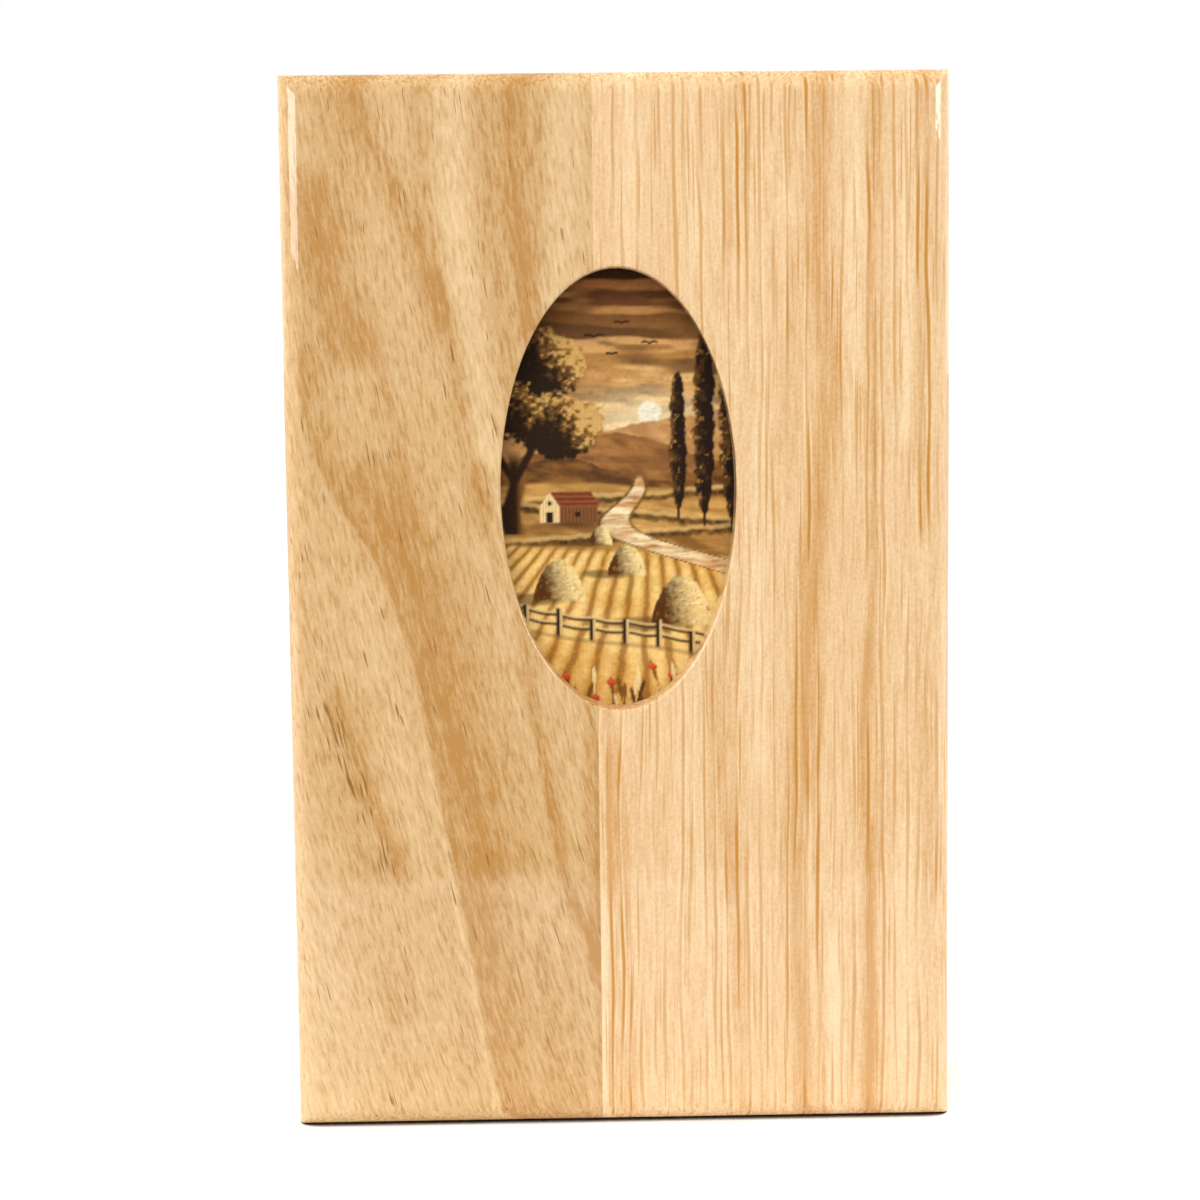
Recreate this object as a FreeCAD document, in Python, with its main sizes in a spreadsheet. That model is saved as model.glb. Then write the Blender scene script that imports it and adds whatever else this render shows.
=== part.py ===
"""A wooden box for one deck of playing cards, with a drawer that slides out of its upper end.

The box stands on its closed end. Its front and back are panels of two boards, glued edge to edge, and an
oval window in the front shows the deck. Between the panels stand two side rails, joined to the end rail by
box joints. The drawer is a tray with a panel held in grooves all round. A divider holds the deck under the
window and leaves a tail behind it, which keeps the drawer in the case when the whole deck is clear of it.
Two dowels in the back panel stop the drawer there. A thumb notch in the back panel bares a finger groove.

Frame, in millimetres: X to the right and Y to the back, seen from the front, and Z up. The origin is the
middle of the foot print. Left and right are as seen from the front.
"""

import FreeCAD, Part
import Sketcher
import os

Vector = FreeCAD.Vector

# Driving dimensions: name, size in millimetres (or a count), and what it is.
SIZES = [
    ("card_width", 63.5, "poker card, across"),
    ("card_height", 88.9, "poker card, upright"),
    ("card_corner", 3.5, "radius of a card's corners"),
    ("card_thick", 0.3, "one card"),
    ("card_count", 54, "cards in the deck, two jokers among them"),
    ("deck_side_gap", 0.85, "from the deck to each drawer side"),
    ("deck_end_gap", 1.6, "from the deck to the drawer front"),
    ("deck_face_gap", 1.0, "from the top card down from the drawer's rim"),
    ("drawer_side_thick", 4.5, "drawer side"),
    ("drawer_front_thick", 10.0, "drawer front"),
    ("drawer_back_thick", 5.0, "drawer back"),
    ("divider_thick", 4.0, "divider behind the deck"),
    ("divider_dado", 1.5, "how far the divider sits in each drawer side"),
    ("tail_length", 26.5, "clear length behind the divider"),
    ("bottom_thick", 3.0, "drawer bottom panel"),
    ("bottom_groove", 2.0, "how far the bottom panel sits in its grooves"),
    ("bottom_recess", 2.0, "from the drawer's lower edges up to its panel"),
    ("front_lip", 4.0, "part of the drawer front that covers the sides' ends"),
    ("slide_gap", 0.4, "running clearance round the drawer"),
    ("open_clear", 1.5, "from the case's upper end to the deck, with the drawer out at its stop"),
    ("side_rail_thick", 7.8, "side rail"),
    ("end_rail_thick", 8.0, "end rail, which closes the case"),
    ("front_thick", 5.0, "front panel"),
    ("back_thick", 5.0, "back panel"),
    ("joint_offset", 3.1, "from the middle of a panel to its glue joint"),
    ("edge_round", 3.0, "roundover along the outer edges of both panels"),
    ("corner_ease", 0.5, "softened corners of the case, from front to back"),
    ("window_width", 32.0, "oval window, across"),
    ("window_height", 60.0, "oval window, upright"),
    ("window_ease", 0.4, "softened rim of the window"),
    ("notch_radius", 13.0, "thumb notch in the back panel"),
    ("notch_ease", 0.8, "softened rim of the thumb notch"),
    ("pull_radius", 2.6, "finger groove in the drawer front"),
    ("pull_length", 15.0, "straight part of the finger groove"),
    ("pull_drop", 4.7, "from the drawer front's outer face down to the groove's middle"),
    ("scallop_radius", 11.0, "finger scallop in each drawer side"),
    ("scallop_ease", 1.0, "softened rim of the finger scallops"),
    ("rim_ease", 0.6, "softened outer edges of the drawer front"),
    ("dowel_width", 4.0, "stop dowel, across"),
    ("dowel_reach", 1.9, "how far a stop dowel stands into the case"),
    ("dowel_spread", 22.0, "from the middle to each stop dowel"),
    ("case_fingers", 5, "fingers across a box joint of the case, both pieces' together"),
    ("drawer_fingers", 5, "fingers across a box joint of the drawer, both pieces' together"),
]

# Places worked out from the sizes: half widths in X, then planes in Y from front to back, then levels in Z.
PLACES = [
    ("bay_half", "Sizes.card_width / 2 + Sizes.deck_side_gap"),
    ("drawer_half", "bay_half + Sizes.drawer_side_thick"),
    ("cavity_half", "drawer_half + Sizes.slide_gap"),
    ("box_half", "cavity_half + Sizes.side_rail_thick"),
    ("deck_thick", "Sizes.card_count * Sizes.card_thick"),
    ("drawer_depth", "Sizes.deck_face_gap + deck_thick + Sizes.bottom_thick + Sizes.bottom_recess"),
    ("cavity_depth", "drawer_depth + 2 * Sizes.slide_gap"),
    ("front_face", "-(Sizes.front_thick + cavity_depth + Sizes.back_thick) / 2"),
    ("front_inner", "front_face + Sizes.front_thick"),
    ("drawer_rim", "front_inner + Sizes.slide_gap"),
    ("deck_face", "drawer_rim + Sizes.deck_face_gap"),
    ("deck_under", "deck_face + deck_thick"),
    ("bottom_under", "deck_under + Sizes.bottom_thick"),
    ("drawer_lower", "bottom_under + Sizes.bottom_recess"),
    ("back_inner", "front_inner + cavity_depth"),
    ("back_face", "back_inner + Sizes.back_thick"),
    ("tail_low", "Sizes.end_rail_thick + Sizes.drawer_back_thick"),
    ("divider_low", "tail_low + Sizes.tail_length"),
    ("deck_low", "divider_low + Sizes.divider_thick"),
    ("window_mid", "deck_low + Sizes.card_height / 2"),
    ("front_low", "deck_low + Sizes.card_height + Sizes.deck_end_gap"),
    ("box_height", "front_low + Sizes.drawer_front_thick"),
    ("side_high", "box_height - Sizes.front_lip"),
    ("panel_low", "tail_low - Sizes.bottom_groove"),
    ("panel_high", "front_low + Sizes.bottom_groove"),
    ("drawer_travel", "box_height - deck_low + Sizes.open_clear"),
    ("dowel_mid", "tail_low + drawer_travel + Sizes.dowel_width / 2"),
    ("case_finger", "cavity_depth / Sizes.case_fingers"),
    ("drawer_finger", "drawer_depth / Sizes.drawer_fingers"),
]

# Each origin plane: whether a pad has to be reversed to grow along its row axis, and whether a pocket has.
PLANES = {"XY_Plane": (False, True), "YZ_Plane": (False, True), "XZ_Plane": (True, False)}

doc = FreeCAD.newDocument("card_box")


# ---------------------------------------------------------------------------------------------- the sheets


def fill_sheet(name, rows):
    """Makes a spreadsheet with one aliased cell in column B for each row."""
    sheet = doc.addObject("Spreadsheet::Sheet", name)
    for line, row in enumerate(rows, start=1):
        sheet.set(f"A{line}", row[0])
        sheet.set(f"B{line}", str(row[1]))
        sheet.setAlias(f"B{line}", row[0])
    return sheet


sizes = fill_sheet("Sizes", SIZES)
for row_number, size_row in enumerate(SIZES, start=1):
    sizes.set(f"C{row_number}", size_row[2])
places = fill_sheet("Places", [(name, "=" + formula) for name, formula in PLACES])
doc.recompute()


def value(expression):
    """The number that an expression over both sheets gives now."""
    return float(sizes.evalExpression(expression))


# ------------------------------------------------------------------------------------- sketches and features


def new_body(label):
    """Starts one piece. Its label is the name of its file."""
    body = doc.addObject("PartDesign::Body", label)
    body.Label = label
    return body


def origin_item(body, role):
    """One of a body's own origin planes or axes."""
    return next(item for item in body.Origin.OriginFeatures if item.Role == role)


def new_sketch(body, plane, level):
    """An empty sketch on an origin plane, moved along that plane's row axis to a level."""
    sketch = body.newObject("Sketcher::SketchObject", "Outline")
    sketch.AttachmentSupport = [(origin_item(body, plane), "")]
    sketch.MapMode = "FlatFace"
    sign = "-" if plane == "XZ_Plane" else ""
    sketch.setExpression("AttachmentOffset.Base.z", f"{sign}({level})")
    return sketch


def place_point(sketch, geometry, point, across, along):
    """Ties a point of the sketch to its place, from the sketch's origin."""
    for kind, place in (("DistanceX", across), ("DistanceY", along)):
        tie = sketch.addConstraint(Sketcher.Constraint(kind, -1, 1, geometry, point, value(place)))
        sketch.setExpression(f"Constraints[{tie}]", place)


def add_rectangle(sketch, left, right, low, high):
    """Draws a rectangle whose four sides are tied to expressions."""
    places_round = ((left, low), (right, low), (right, high), (left, high))
    corners = [Vector(value(across), value(along), 0) for across, along in places_round]
    first = sketch.GeometryCount
    for side in range(4):
        sketch.addGeometry(Part.LineSegment(corners[side], corners[(side + 1) % 4]), False)
    for side in range(4):
        sketch.addConstraint(Sketcher.Constraint("Coincident", first + side, 2, first + (side + 1) % 4, 1))
        level = "Horizontal" if side % 2 == 0 else "Vertical"
        sketch.addConstraint(Sketcher.Constraint(level, first + side))
    place_point(sketch, first, 1, left, low)
    place_point(sketch, first + 2, 1, right, high)


def add_circle(sketch, across, along, radius):
    """Draws a circle whose centre and radius are tied to expressions."""
    centre = Vector(value(across), value(along), 0)
    circle = sketch.addGeometry(Part.Circle(centre, Vector(0, 0, 1), value(radius)), False)
    place_point(sketch, circle, 3, across, along)
    tie = sketch.addConstraint(Sketcher.Constraint("Radius", circle, value(radius)))
    sketch.setExpression(f"Constraints[{tie}]", radius)


def add_oval(sketch, along, width, height):
    """Draws an upright ellipse on the sketch's upright axis."""
    centre = Vector(0, value(along), 0)
    top = centre + Vector(0, value(height) / 2, 0)
    side = centre + Vector(value(width) / 2, 0, 0)
    oval = sketch.addGeometry(Part.Ellipse(top, side, centre), False)
    sketch.exposeInternalGeometry(oval)
    long_axis, short_axis = oval + 1, oval + 2
    sketch.addConstraint(Sketcher.Constraint("Vertical", long_axis))
    place_point(sketch, oval, 3, "0", along)
    for axis, length in ((long_axis, height), (short_axis, width)):
        tie = sketch.addConstraint(Sketcher.Constraint("Distance", axis, value(length)))
        sketch.setExpression(f"Constraints[{tie}]", length)


def pad(body, plane, start, end, draw, *places_of_it):
    """Adds material from one level to another along the plane's row axis."""
    sketch = new_sketch(body, plane, start)
    draw(sketch, *places_of_it)
    feature = body.newObject("PartDesign::Pad", "Pad")
    feature.Profile = sketch
    feature.Reversed = PLANES[plane][0]
    feature.setExpression("Length", f"({end}) - ({start})")
    doc.recompute()
    return feature


def pocket(body, plane, start, end, draw, *places_of_it):
    """Cuts from one level to another along the plane's row axis, and makes sure that something went."""
    before = body.Shape.Volume
    sketch = new_sketch(body, plane, start)
    draw(sketch, *places_of_it)
    feature = body.newObject("PartDesign::Pocket", "Pocket")
    feature.Profile = sketch
    feature.Reversed = PLANES[plane][1]
    feature.setExpression("Length", f"({end}) - ({start})")
    doc.recompute()
    if body.Shape.Volume >= before:
        raise ValueError(f"a pocket in {body.Label} cuts nothing")
    return feature


def repeat_along_y(body, feature, pitch, count):
    """Repeats a feature towards the back."""
    pattern = body.newObject("PartDesign::LinearPattern", "Repeat")
    pattern.Originals = [feature]
    pattern.Direction = (origin_item(body, "Y_Axis"), [""])
    pattern.Mode = "Spacing"
    pattern.setExpression("Offset", pitch)
    pattern.setExpression("Occurrences", count)
    body.Tip = pattern
    doc.recompute()
    return pattern


def edges_where(body, wanted):
    """Names of the body's edges whose middle point, ends and curve pass a test."""
    names = []
    for number, edge in enumerate(body.Shape.Edges, start=1):
        middle = edge.valueAt((edge.FirstParameter + edge.LastParameter) / 2)
        if wanted(middle, edge):
            names.append(f"Edge{number}")
    if not names:
        raise ValueError(f"{body.Label} has no such edge")
    return names


def round_edges(body, size, wanted, kind="Fillet"):
    """Rounds, or chamfers, the edges that pass a test."""
    base = body.Tip
    feature = body.newObject(f"PartDesign::{kind}", kind)
    feature.Base = (base, edges_where(body, wanted))
    feature.setExpression("Radius" if kind == "Fillet" else "Size", size)
    doc.recompute()
    return feature


def near(a, place):
    """Whether a coordinate is at a place, to a hundredth of a millimetre."""
    return abs(a - value(place)) < 0.01


# ------------------------------------------------------------------------------------------------ the case


def outer_edges(face):
    """The test for a panel's outer edges on one face: the box's sides and ends, and not the glue joint."""

    def wanted(middle, edge):
        at_side = abs(abs(middle.x) - value("Places.box_half")) < 0.01
        at_end = near(middle.z, "0") or near(middle.z, "Places.box_height")
        straight = isinstance(edge.Curve, (Part.Line, Part.LineSegment))
        return near(middle.y, face) and (at_side or at_end) and straight

    return wanted


def case_corner(middle, edge):
    """The test for a corner of the case: an edge that runs from front to back where a side meets an end."""
    at_side = abs(abs(middle.x) - value("Places.box_half")) < 0.01
    at_end = near(middle.z, "0") or near(middle.z, "Places.box_height")
    return at_side and at_end and abs(edge.tangentAt(edge.FirstParameter).y) > 0.99


def window_rim(middle, edge):
    """The test for the oval window's rim on the front face."""
    return near(middle.y, "Places.front_face") and isinstance(edge.Curve, Part.Ellipse)


def front_board(label, left, right):
    """One board of the front panel: its outer edges are rounded and it holds its share of the oval window."""
    board = new_body(label)
    pad(board, "XZ_Plane", "Places.front_face", "Places.front_inner",
        add_rectangle, left, right, "0", "Places.box_height")
    pocket(board, "XZ_Plane", "Places.front_face", "Places.front_inner",
           add_oval, "Places.window_mid", "Sizes.window_width", "Sizes.window_height")
    round_edges(board, "Sizes.edge_round", outer_edges("Places.front_face"))
    round_edges(board, "Sizes.window_ease", window_rim, "Chamfer")
    round_edges(board, "Sizes.corner_ease", case_corner)
    return board


def back_board(label, left, right, dowel_place):
    """One board of the back panel, with its share of the thumb notch and the hole of one stop dowel."""
    board = new_body(label)
    pad(board, "XZ_Plane", "Places.back_inner", "Places.back_face",
        add_rectangle, left, right, "0", "Places.box_height")
    round_edges(board, "Sizes.edge_round", outer_edges("Places.back_face"))
    pocket(board, "XZ_Plane", "Places.back_inner", "Places.back_face",
           add_circle, "0", "Places.box_height", "Sizes.notch_radius")
    round_edges(board, "Sizes.notch_ease", notch_rim)
    pocket(board, "XZ_Plane", "Places.back_inner", "Places.back_face",
           add_circle, dowel_place, "Places.dowel_mid", "Sizes.dowel_width / 2")
    round_edges(board, "Sizes.corner_ease", case_corner)
    return board


def notch_rim(middle, edge):
    """The test for the thumb notch's rim on a back board's outer side, where it crosses the roundover too."""
    from_centre = (middle - Vector(0, middle.y, value("Places.box_height"))).Length
    on_rim = abs(from_centre - value("Sizes.notch_radius")) < 0.01
    outside = middle.y > value("Places.back_inner") + 0.01
    return on_rim and outside and not isinstance(edge.Curve, Part.Line)


def side_rail(label, inner, outer):
    """A side rail. Sockets across its foot take the end rail's fingers."""
    rail = new_body(label)
    pad(rail, "XZ_Plane", "Places.front_inner", "Places.back_inner",
        add_rectangle, inner, outer, "0", "Places.box_height")
    socket = pocket(rail, "XZ_Plane",
                    "Places.front_inner + Places.case_finger", "Places.front_inner + 2 * Places.case_finger",
                    add_rectangle, inner, outer, "0", "Sizes.end_rail_thick")
    repeat_along_y(rail, socket, "2 * Places.case_finger", "floor(Sizes.case_fingers / 2)")
    round_edges(rail, "Sizes.corner_ease", case_corner)
    return rail


def draw_end_sockets(sketch, half, thick, low, high):
    """A rectangle at each end of a cross piece, one side piece deep."""
    add_rectangle(sketch, f"-({half})", f"-({half}) + ({thick})", low, high)
    add_rectangle(sketch, f"({half}) - ({thick})", half, low, high)


def end_rail():
    """The rail that closes the case and carries it when it stands."""
    rail = new_body("end_rail")
    pad(rail, "XZ_Plane", "Places.front_inner", "Places.back_inner",
        add_rectangle, "-Places.box_half", "Places.box_half", "0", "Sizes.end_rail_thick")
    sockets = pocket(rail, "XZ_Plane", "Places.front_inner", "Places.front_inner + Places.case_finger",
                     draw_end_sockets, "Places.box_half", "Sizes.side_rail_thick", "0", "Sizes.end_rail_thick")
    repeat_along_y(rail, sockets, "2 * Places.case_finger", "ceil(Sizes.case_fingers / 2)")
    round_edges(rail, "Sizes.corner_ease", case_corner)
    return rail


def draw_dowels(sketch):
    """A circle for each stop dowel."""
    for side in ("-", ""):
        add_circle(sketch, f"{side}Sizes.dowel_spread", "Places.dowel_mid", "Sizes.dowel_width / 2")


def stop_dowels():
    """Both stop dowels: flush with the back face, they reach under the drawer's panel."""
    dowels = new_body("stop_dowels")
    dowels.AllowCompound = True
    pad(dowels, "XZ_Plane", "Places.back_inner - Sizes.dowel_reach", "Places.back_face", draw_dowels)
    return dowels


# ---------------------------------------------------------------------------------------------- the drawer


def drawer_side(label, sign):
    """A drawer side: box joint at the foot, groove for the panel, dado for the divider, finger scallop."""
    inner, outer = f"{sign}Places.bay_half", f"{sign}Places.drawer_half"
    left, right = (outer, inner) if sign else (inner, outer)
    side = new_body(label)
    pad(side, "YZ_Plane", left, right, add_rectangle,
        "Places.drawer_rim", "Places.drawer_lower", "Sizes.end_rail_thick", "Places.side_high")
    socket = pocket(side, "XZ_Plane",
                    "Places.drawer_rim + Places.drawer_finger", "Places.drawer_rim + 2 * Places.drawer_finger",
                    add_rectangle, left, right, "Sizes.end_rail_thick", "Places.tail_low")
    repeat_along_y(side, socket, "2 * Places.drawer_finger", "floor(Sizes.drawer_fingers / 2)")
    panel_groove = ("Sizes.bottom_groove",
                    "Places.deck_under", "Places.bottom_under", "Places.panel_low", "Places.panel_high")
    divider_dado = ("Sizes.divider_dado",
                    "Places.drawer_rim", "Places.deck_under", "Places.divider_low", "Places.deck_low")
    for depth, front, back, low, high in (panel_groove, divider_dado):
        cut_left, cut_right = (f"{inner} - {depth}", inner) if sign else (inner, f"{inner} + {depth}")
        pocket(side, "YZ_Plane", cut_left, cut_right, add_rectangle, front, back, low, high)
    pocket(side, "YZ_Plane", left, right,
           add_circle, "Places.drawer_rim", "Places.window_mid", "Sizes.scallop_radius")
    round_edges(side, "Sizes.scallop_ease", lambda middle, edge: isinstance(edge.Curve, Part.Circle))
    return side


def drawer_front():
    """The drawer front: a lip covers the sides' ends, and a finger groove lies behind the thumb notch."""
    front = new_body("drawer_front")
    pad(front, "XZ_Plane", "Places.drawer_rim", "Places.drawer_lower",
        add_rectangle, "-Places.drawer_half", "Places.drawer_half", "Places.front_low", "Places.box_height")
    pocket(front, "XZ_Plane", "Places.drawer_rim", "Places.drawer_lower",
           draw_end_sockets, "Places.drawer_half", "Sizes.drawer_side_thick",
           "Places.front_low", "Places.side_high")
    pocket(front, "XZ_Plane", "Places.deck_under", "Places.bottom_under",
           add_rectangle, "-Places.bay_half", "Places.bay_half", "Places.front_low", "Places.panel_high")
    cut_finger_groove(front)
    round_edges(front, "Sizes.rim_ease",
                lambda middle, edge: near(middle.z, "Places.box_height") and isinstance(edge.Curve, Part.Line),
                "Chamfer")
    return front


def cut_finger_groove(front):
    """A round groove with round ends: half a capsule's outline, turned about the line on the back face."""
    before = front.Shape.Volume
    sketch = new_sketch(front, "XZ_Plane", "Places.drawer_lower")
    sketch.setExpression("AttachmentOffset.Base.y", "Places.box_height - Sizes.pull_drop")
    half, radius = value("Sizes.pull_length / 2"), value("Sizes.pull_radius")
    corners = [Vector(x, y, 0) for x, y in ((-half - radius, 0), (-half, radius), (half, radius), (half + radius, 0))]
    bend = radius * 0.5 ** 0.5
    left_end = Part.Arc(corners[0], Vector(-half - bend, bend, 0), corners[1])
    right_end = Part.Arc(corners[2], Vector(half + bend, bend, 0), corners[3])
    outer = Part.LineSegment(corners[1], corners[2])
    inner = Part.LineSegment(corners[3], corners[0])
    sketch.addGeometry([left_end, outer, right_end, inner], False)
    groove = front.newObject("PartDesign::Groove", "FingerGroove")
    groove.Profile = sketch
    groove.ReferenceAxis = (sketch, ["H_Axis"])
    groove.Angle = 360
    doc.recompute()
    if front.Shape.Volume >= before:
        raise ValueError("the finger groove cuts nothing")


def drawer_back():
    """The drawer back: box joints to both sides, and a groove for the panel."""
    back = new_body("drawer_back")
    pad(back, "XZ_Plane", "Places.drawer_rim", "Places.drawer_lower",
        add_rectangle, "-Places.drawer_half", "Places.drawer_half", "Sizes.end_rail_thick", "Places.tail_low")
    sockets = pocket(back, "XZ_Plane", "Places.drawer_rim", "Places.drawer_rim + Places.drawer_finger",
                     draw_end_sockets, "Places.drawer_half", "Sizes.drawer_side_thick",
                     "Sizes.end_rail_thick", "Places.tail_low")
    repeat_along_y(back, sockets, "2 * Places.drawer_finger", "ceil(Sizes.drawer_fingers / 2)")
    pocket(back, "XZ_Plane", "Places.deck_under", "Places.bottom_under", add_rectangle,
           "-(Places.bay_half + Sizes.bottom_groove)", "Places.bay_half + Sizes.bottom_groove",
           "Places.panel_low", "Places.tail_low")
    return back


def drawer_bottom():
    """The thin panel that the grooves hold."""
    panel = new_body("drawer_bottom")
    pad(panel, "XZ_Plane", "Places.deck_under", "Places.bottom_under", add_rectangle,
        "-(Places.bay_half + Sizes.bottom_groove)", "Places.bay_half + Sizes.bottom_groove",
        "Places.panel_low", "Places.panel_high")
    return panel


def drawer_divider():
    """The divider that the deck stands on."""
    divider = new_body("drawer_divider")
    pad(divider, "XZ_Plane", "Places.drawer_rim", "Places.deck_under", add_rectangle,
        "-(Places.bay_half + Sizes.divider_dado)", "Places.bay_half + Sizes.divider_dado",
        "Places.divider_low", "Places.deck_low")
    return divider


def cards(label, start, end):
    """Squared-up cards with round corners."""
    stack = new_body(label)
    pad(stack, "XZ_Plane", start, end, add_rectangle,
        "-Sizes.card_width / 2", "Sizes.card_width / 2", "Places.deck_low", "Places.deck_low + Sizes.card_height")
    round_edges(stack, "Sizes.card_corner",
                lambda middle, edge: not near(middle.y, start) and not near(middle.y, end))
    return stack


# ---------------------------------------------------------------------------------------------- all pieces

pieces = [
    front_board("front_board_left", "-Places.box_half", "-Sizes.joint_offset"),
    front_board("front_board_right", "-Sizes.joint_offset", "Places.box_half"),
    back_board("back_board_left", "-Places.box_half", "Sizes.joint_offset", "-Sizes.dowel_spread"),
    back_board("back_board_right", "Sizes.joint_offset", "Places.box_half", "Sizes.dowel_spread"),
    side_rail("side_rail_left", "-Places.box_half", "-Places.cavity_half"),
    side_rail("side_rail_right", "Places.cavity_half", "Places.box_half"),
    end_rail(),
    stop_dowels(),
    drawer_side("drawer_side_left", "-"),
    drawer_side("drawer_side_right", ""),
    drawer_front(),
    drawer_back(),
    drawer_bottom(),
    drawer_divider(),
    cards("card_stack", "Places.deck_face + Sizes.card_thick", "Places.deck_under"),
    cards("top_card", "Places.deck_face", "Places.deck_face + Sizes.card_thick"),
]

doc.recompute()
for item in doc.Objects:
    if "Invalid" in item.State or "Error" in item.State:
        raise ValueError(f"{item.Label} failed: {item.State}")
os.makedirs("parts", exist_ok=True)
for piece in pieces:
    if piece.Shape.isNull() or not piece.Shape.isValid() or not piece.Shape.Solids:
        raise ValueError(f"{piece.Label} is not a valid solid")
    piece.Shape.exportStep(f"parts/{piece.Label}.step")
    box = piece.Shape.BoundBox
    print(f"{piece.Label:20s} {len(piece.Shape.Solids)} solid, {piece.Shape.Volume:10.1f} mm3, "
          f"X {box.XMin:.2f}..{box.XMax:.2f}, Y {box.YMin:.2f}..{box.YMax:.2f}, Z {box.ZMin:.2f}..{box.ZMax:.2f}")
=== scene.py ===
"""Looks of an oak box for playing cards: lacquered oak boards, an oval window, a printed card and a deck.

Lengths in this file are millimetres, apart from what Blender is given, which is metres. X runs to the
right, Y to the back and Z up, seen from the front, and the origin is the middle of the footprint.
"""

import math
from functools import partial

import bpy
import numpy as np
from mathutils import Matrix, Vector


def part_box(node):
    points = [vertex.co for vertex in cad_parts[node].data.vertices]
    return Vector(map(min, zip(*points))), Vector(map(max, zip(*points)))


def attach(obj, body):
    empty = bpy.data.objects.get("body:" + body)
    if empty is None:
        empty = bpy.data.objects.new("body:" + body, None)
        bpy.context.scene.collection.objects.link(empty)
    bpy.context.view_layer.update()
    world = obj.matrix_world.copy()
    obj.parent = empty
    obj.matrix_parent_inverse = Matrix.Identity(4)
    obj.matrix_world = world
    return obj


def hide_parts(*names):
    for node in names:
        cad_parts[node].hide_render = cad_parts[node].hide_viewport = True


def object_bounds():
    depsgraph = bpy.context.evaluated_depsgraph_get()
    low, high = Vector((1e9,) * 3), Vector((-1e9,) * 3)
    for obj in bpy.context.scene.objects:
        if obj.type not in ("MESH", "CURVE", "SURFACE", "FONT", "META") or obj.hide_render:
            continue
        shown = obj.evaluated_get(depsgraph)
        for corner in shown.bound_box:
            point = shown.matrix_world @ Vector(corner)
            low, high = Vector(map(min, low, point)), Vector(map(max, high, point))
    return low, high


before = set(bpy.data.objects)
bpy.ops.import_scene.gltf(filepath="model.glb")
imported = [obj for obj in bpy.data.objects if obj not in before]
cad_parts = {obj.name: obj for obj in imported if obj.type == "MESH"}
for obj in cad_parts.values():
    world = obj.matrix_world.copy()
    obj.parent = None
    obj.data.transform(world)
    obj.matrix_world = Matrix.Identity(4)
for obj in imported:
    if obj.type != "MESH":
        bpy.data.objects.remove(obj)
cad_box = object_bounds()
scene = bpy.context.scene
METRE = 1000.0

# The case, read from its boards.
low_corner, high_corner = (corner * METRE for corner in cad_box)
HALF_WIDTH = high_corner.x
HEIGHT = high_corner.z
FACE = low_corner.y
FRONT_INNER = (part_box("front_board_left")[1] * METRE).y
JOINT = (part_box("front_board_left")[1] * METRE).x

# The front panel's own shape.
EDGE_ROUND = 3.0
CORNER_EASE = 0.5
WINDOW_HALF_WIDTH = 16.0
WINDOW_HALF_HEIGHT = 30.0
WINDOW_EASE = 0.4
deck_box = [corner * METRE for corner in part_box("card_stack")]
WINDOW_MID = (deck_box[0].z + deck_box[1].z) / 2


# ------------------------------------------------------------------------------------------------ camera


def place_camera():
    """A long lens a little above the window, looking slightly down, with a trace of roll."""
    eye = Vector((-9.6, -365.8, 108.9)) / METRE
    yaw, pitch, roll = (math.radians(angle) for angle in (1.130, -5.857, -0.638))
    focal_pixels, frame_pixels = 2581.2, 1200.0
    ahead = Vector((math.sin(yaw) * math.cos(pitch), math.cos(yaw) * math.cos(pitch), math.sin(pitch)))
    level_right = Vector((math.cos(yaw), -math.sin(yaw), 0))
    level_up = level_right.cross(ahead)
    right = level_right * math.cos(roll) + level_up * math.sin(roll)
    up = level_up * math.cos(roll) - level_right * math.sin(roll)
    data = bpy.data.cameras.new("camera")
    data.sensor_width = 36.0
    data.lens = data.sensor_width * focal_pixels / frame_pixels
    data.clip_start = 0.01
    camera = bpy.data.objects.new("camera", data)
    scene.collection.objects.link(camera)
    turn = Matrix((right, up, -ahead)).transposed().to_4x4()
    camera.matrix_world = Matrix.Translation(eye) @ turn
    scene.camera = camera


place_camera()


# ------------------------------------------------------------------------------------------------ colours


def linear(code):
    """An sRGB hex colour as linear RGBA."""
    parts = np.array([int(code[i:i + 2], 16) for i in (1, 3, 5)]) / 255
    low = parts / 12.92
    high = ((parts + 0.055) / 1.055) ** 2.4
    return (*np.where(parts <= 0.04045, low, high).tolist(), 1.0)


def add(tree, kind, links=None, out=0, **settings):
    """Adds a node, sets its properties, and fills its sockets with values or with other nodes' outputs.

    A kind such as Math:ADD gives the node's operation too. Sockets go by number where their names repeat: a
    Mix takes its factor at 0, two numbers at 2 and 3, and two colours at 6 and 7, mixed into output 2.
    """
    kind, _, operation = kind.partition(":")
    node = tree.nodes.new("ShaderNode" + kind)
    if operation:
        node.operation = operation
    for name, setting in settings.items():
        setattr(node, name, setting)
    for socket, given in (links or {}).items():
        if isinstance(given, bpy.types.NodeSocket):
            tree.links.new(given, node.inputs[socket])
        else:
            node.inputs[socket].default_value = given
    return node.outputs[out] if out is not None else node


def new_material(name):
    """A material with no nodes yet, and the function that adds them."""
    material = bpy.data.materials.new(name)
    material.use_nodes = True
    material.node_tree.nodes.clear()
    return material, partial(add, material.node_tree)


# The setting of a MapRange that eases in and out.
SMOOTH = {"interpolation_type": "SMOOTHSTEP"}


# ------------------------------------------------------------------------------------------------- meshes


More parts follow.
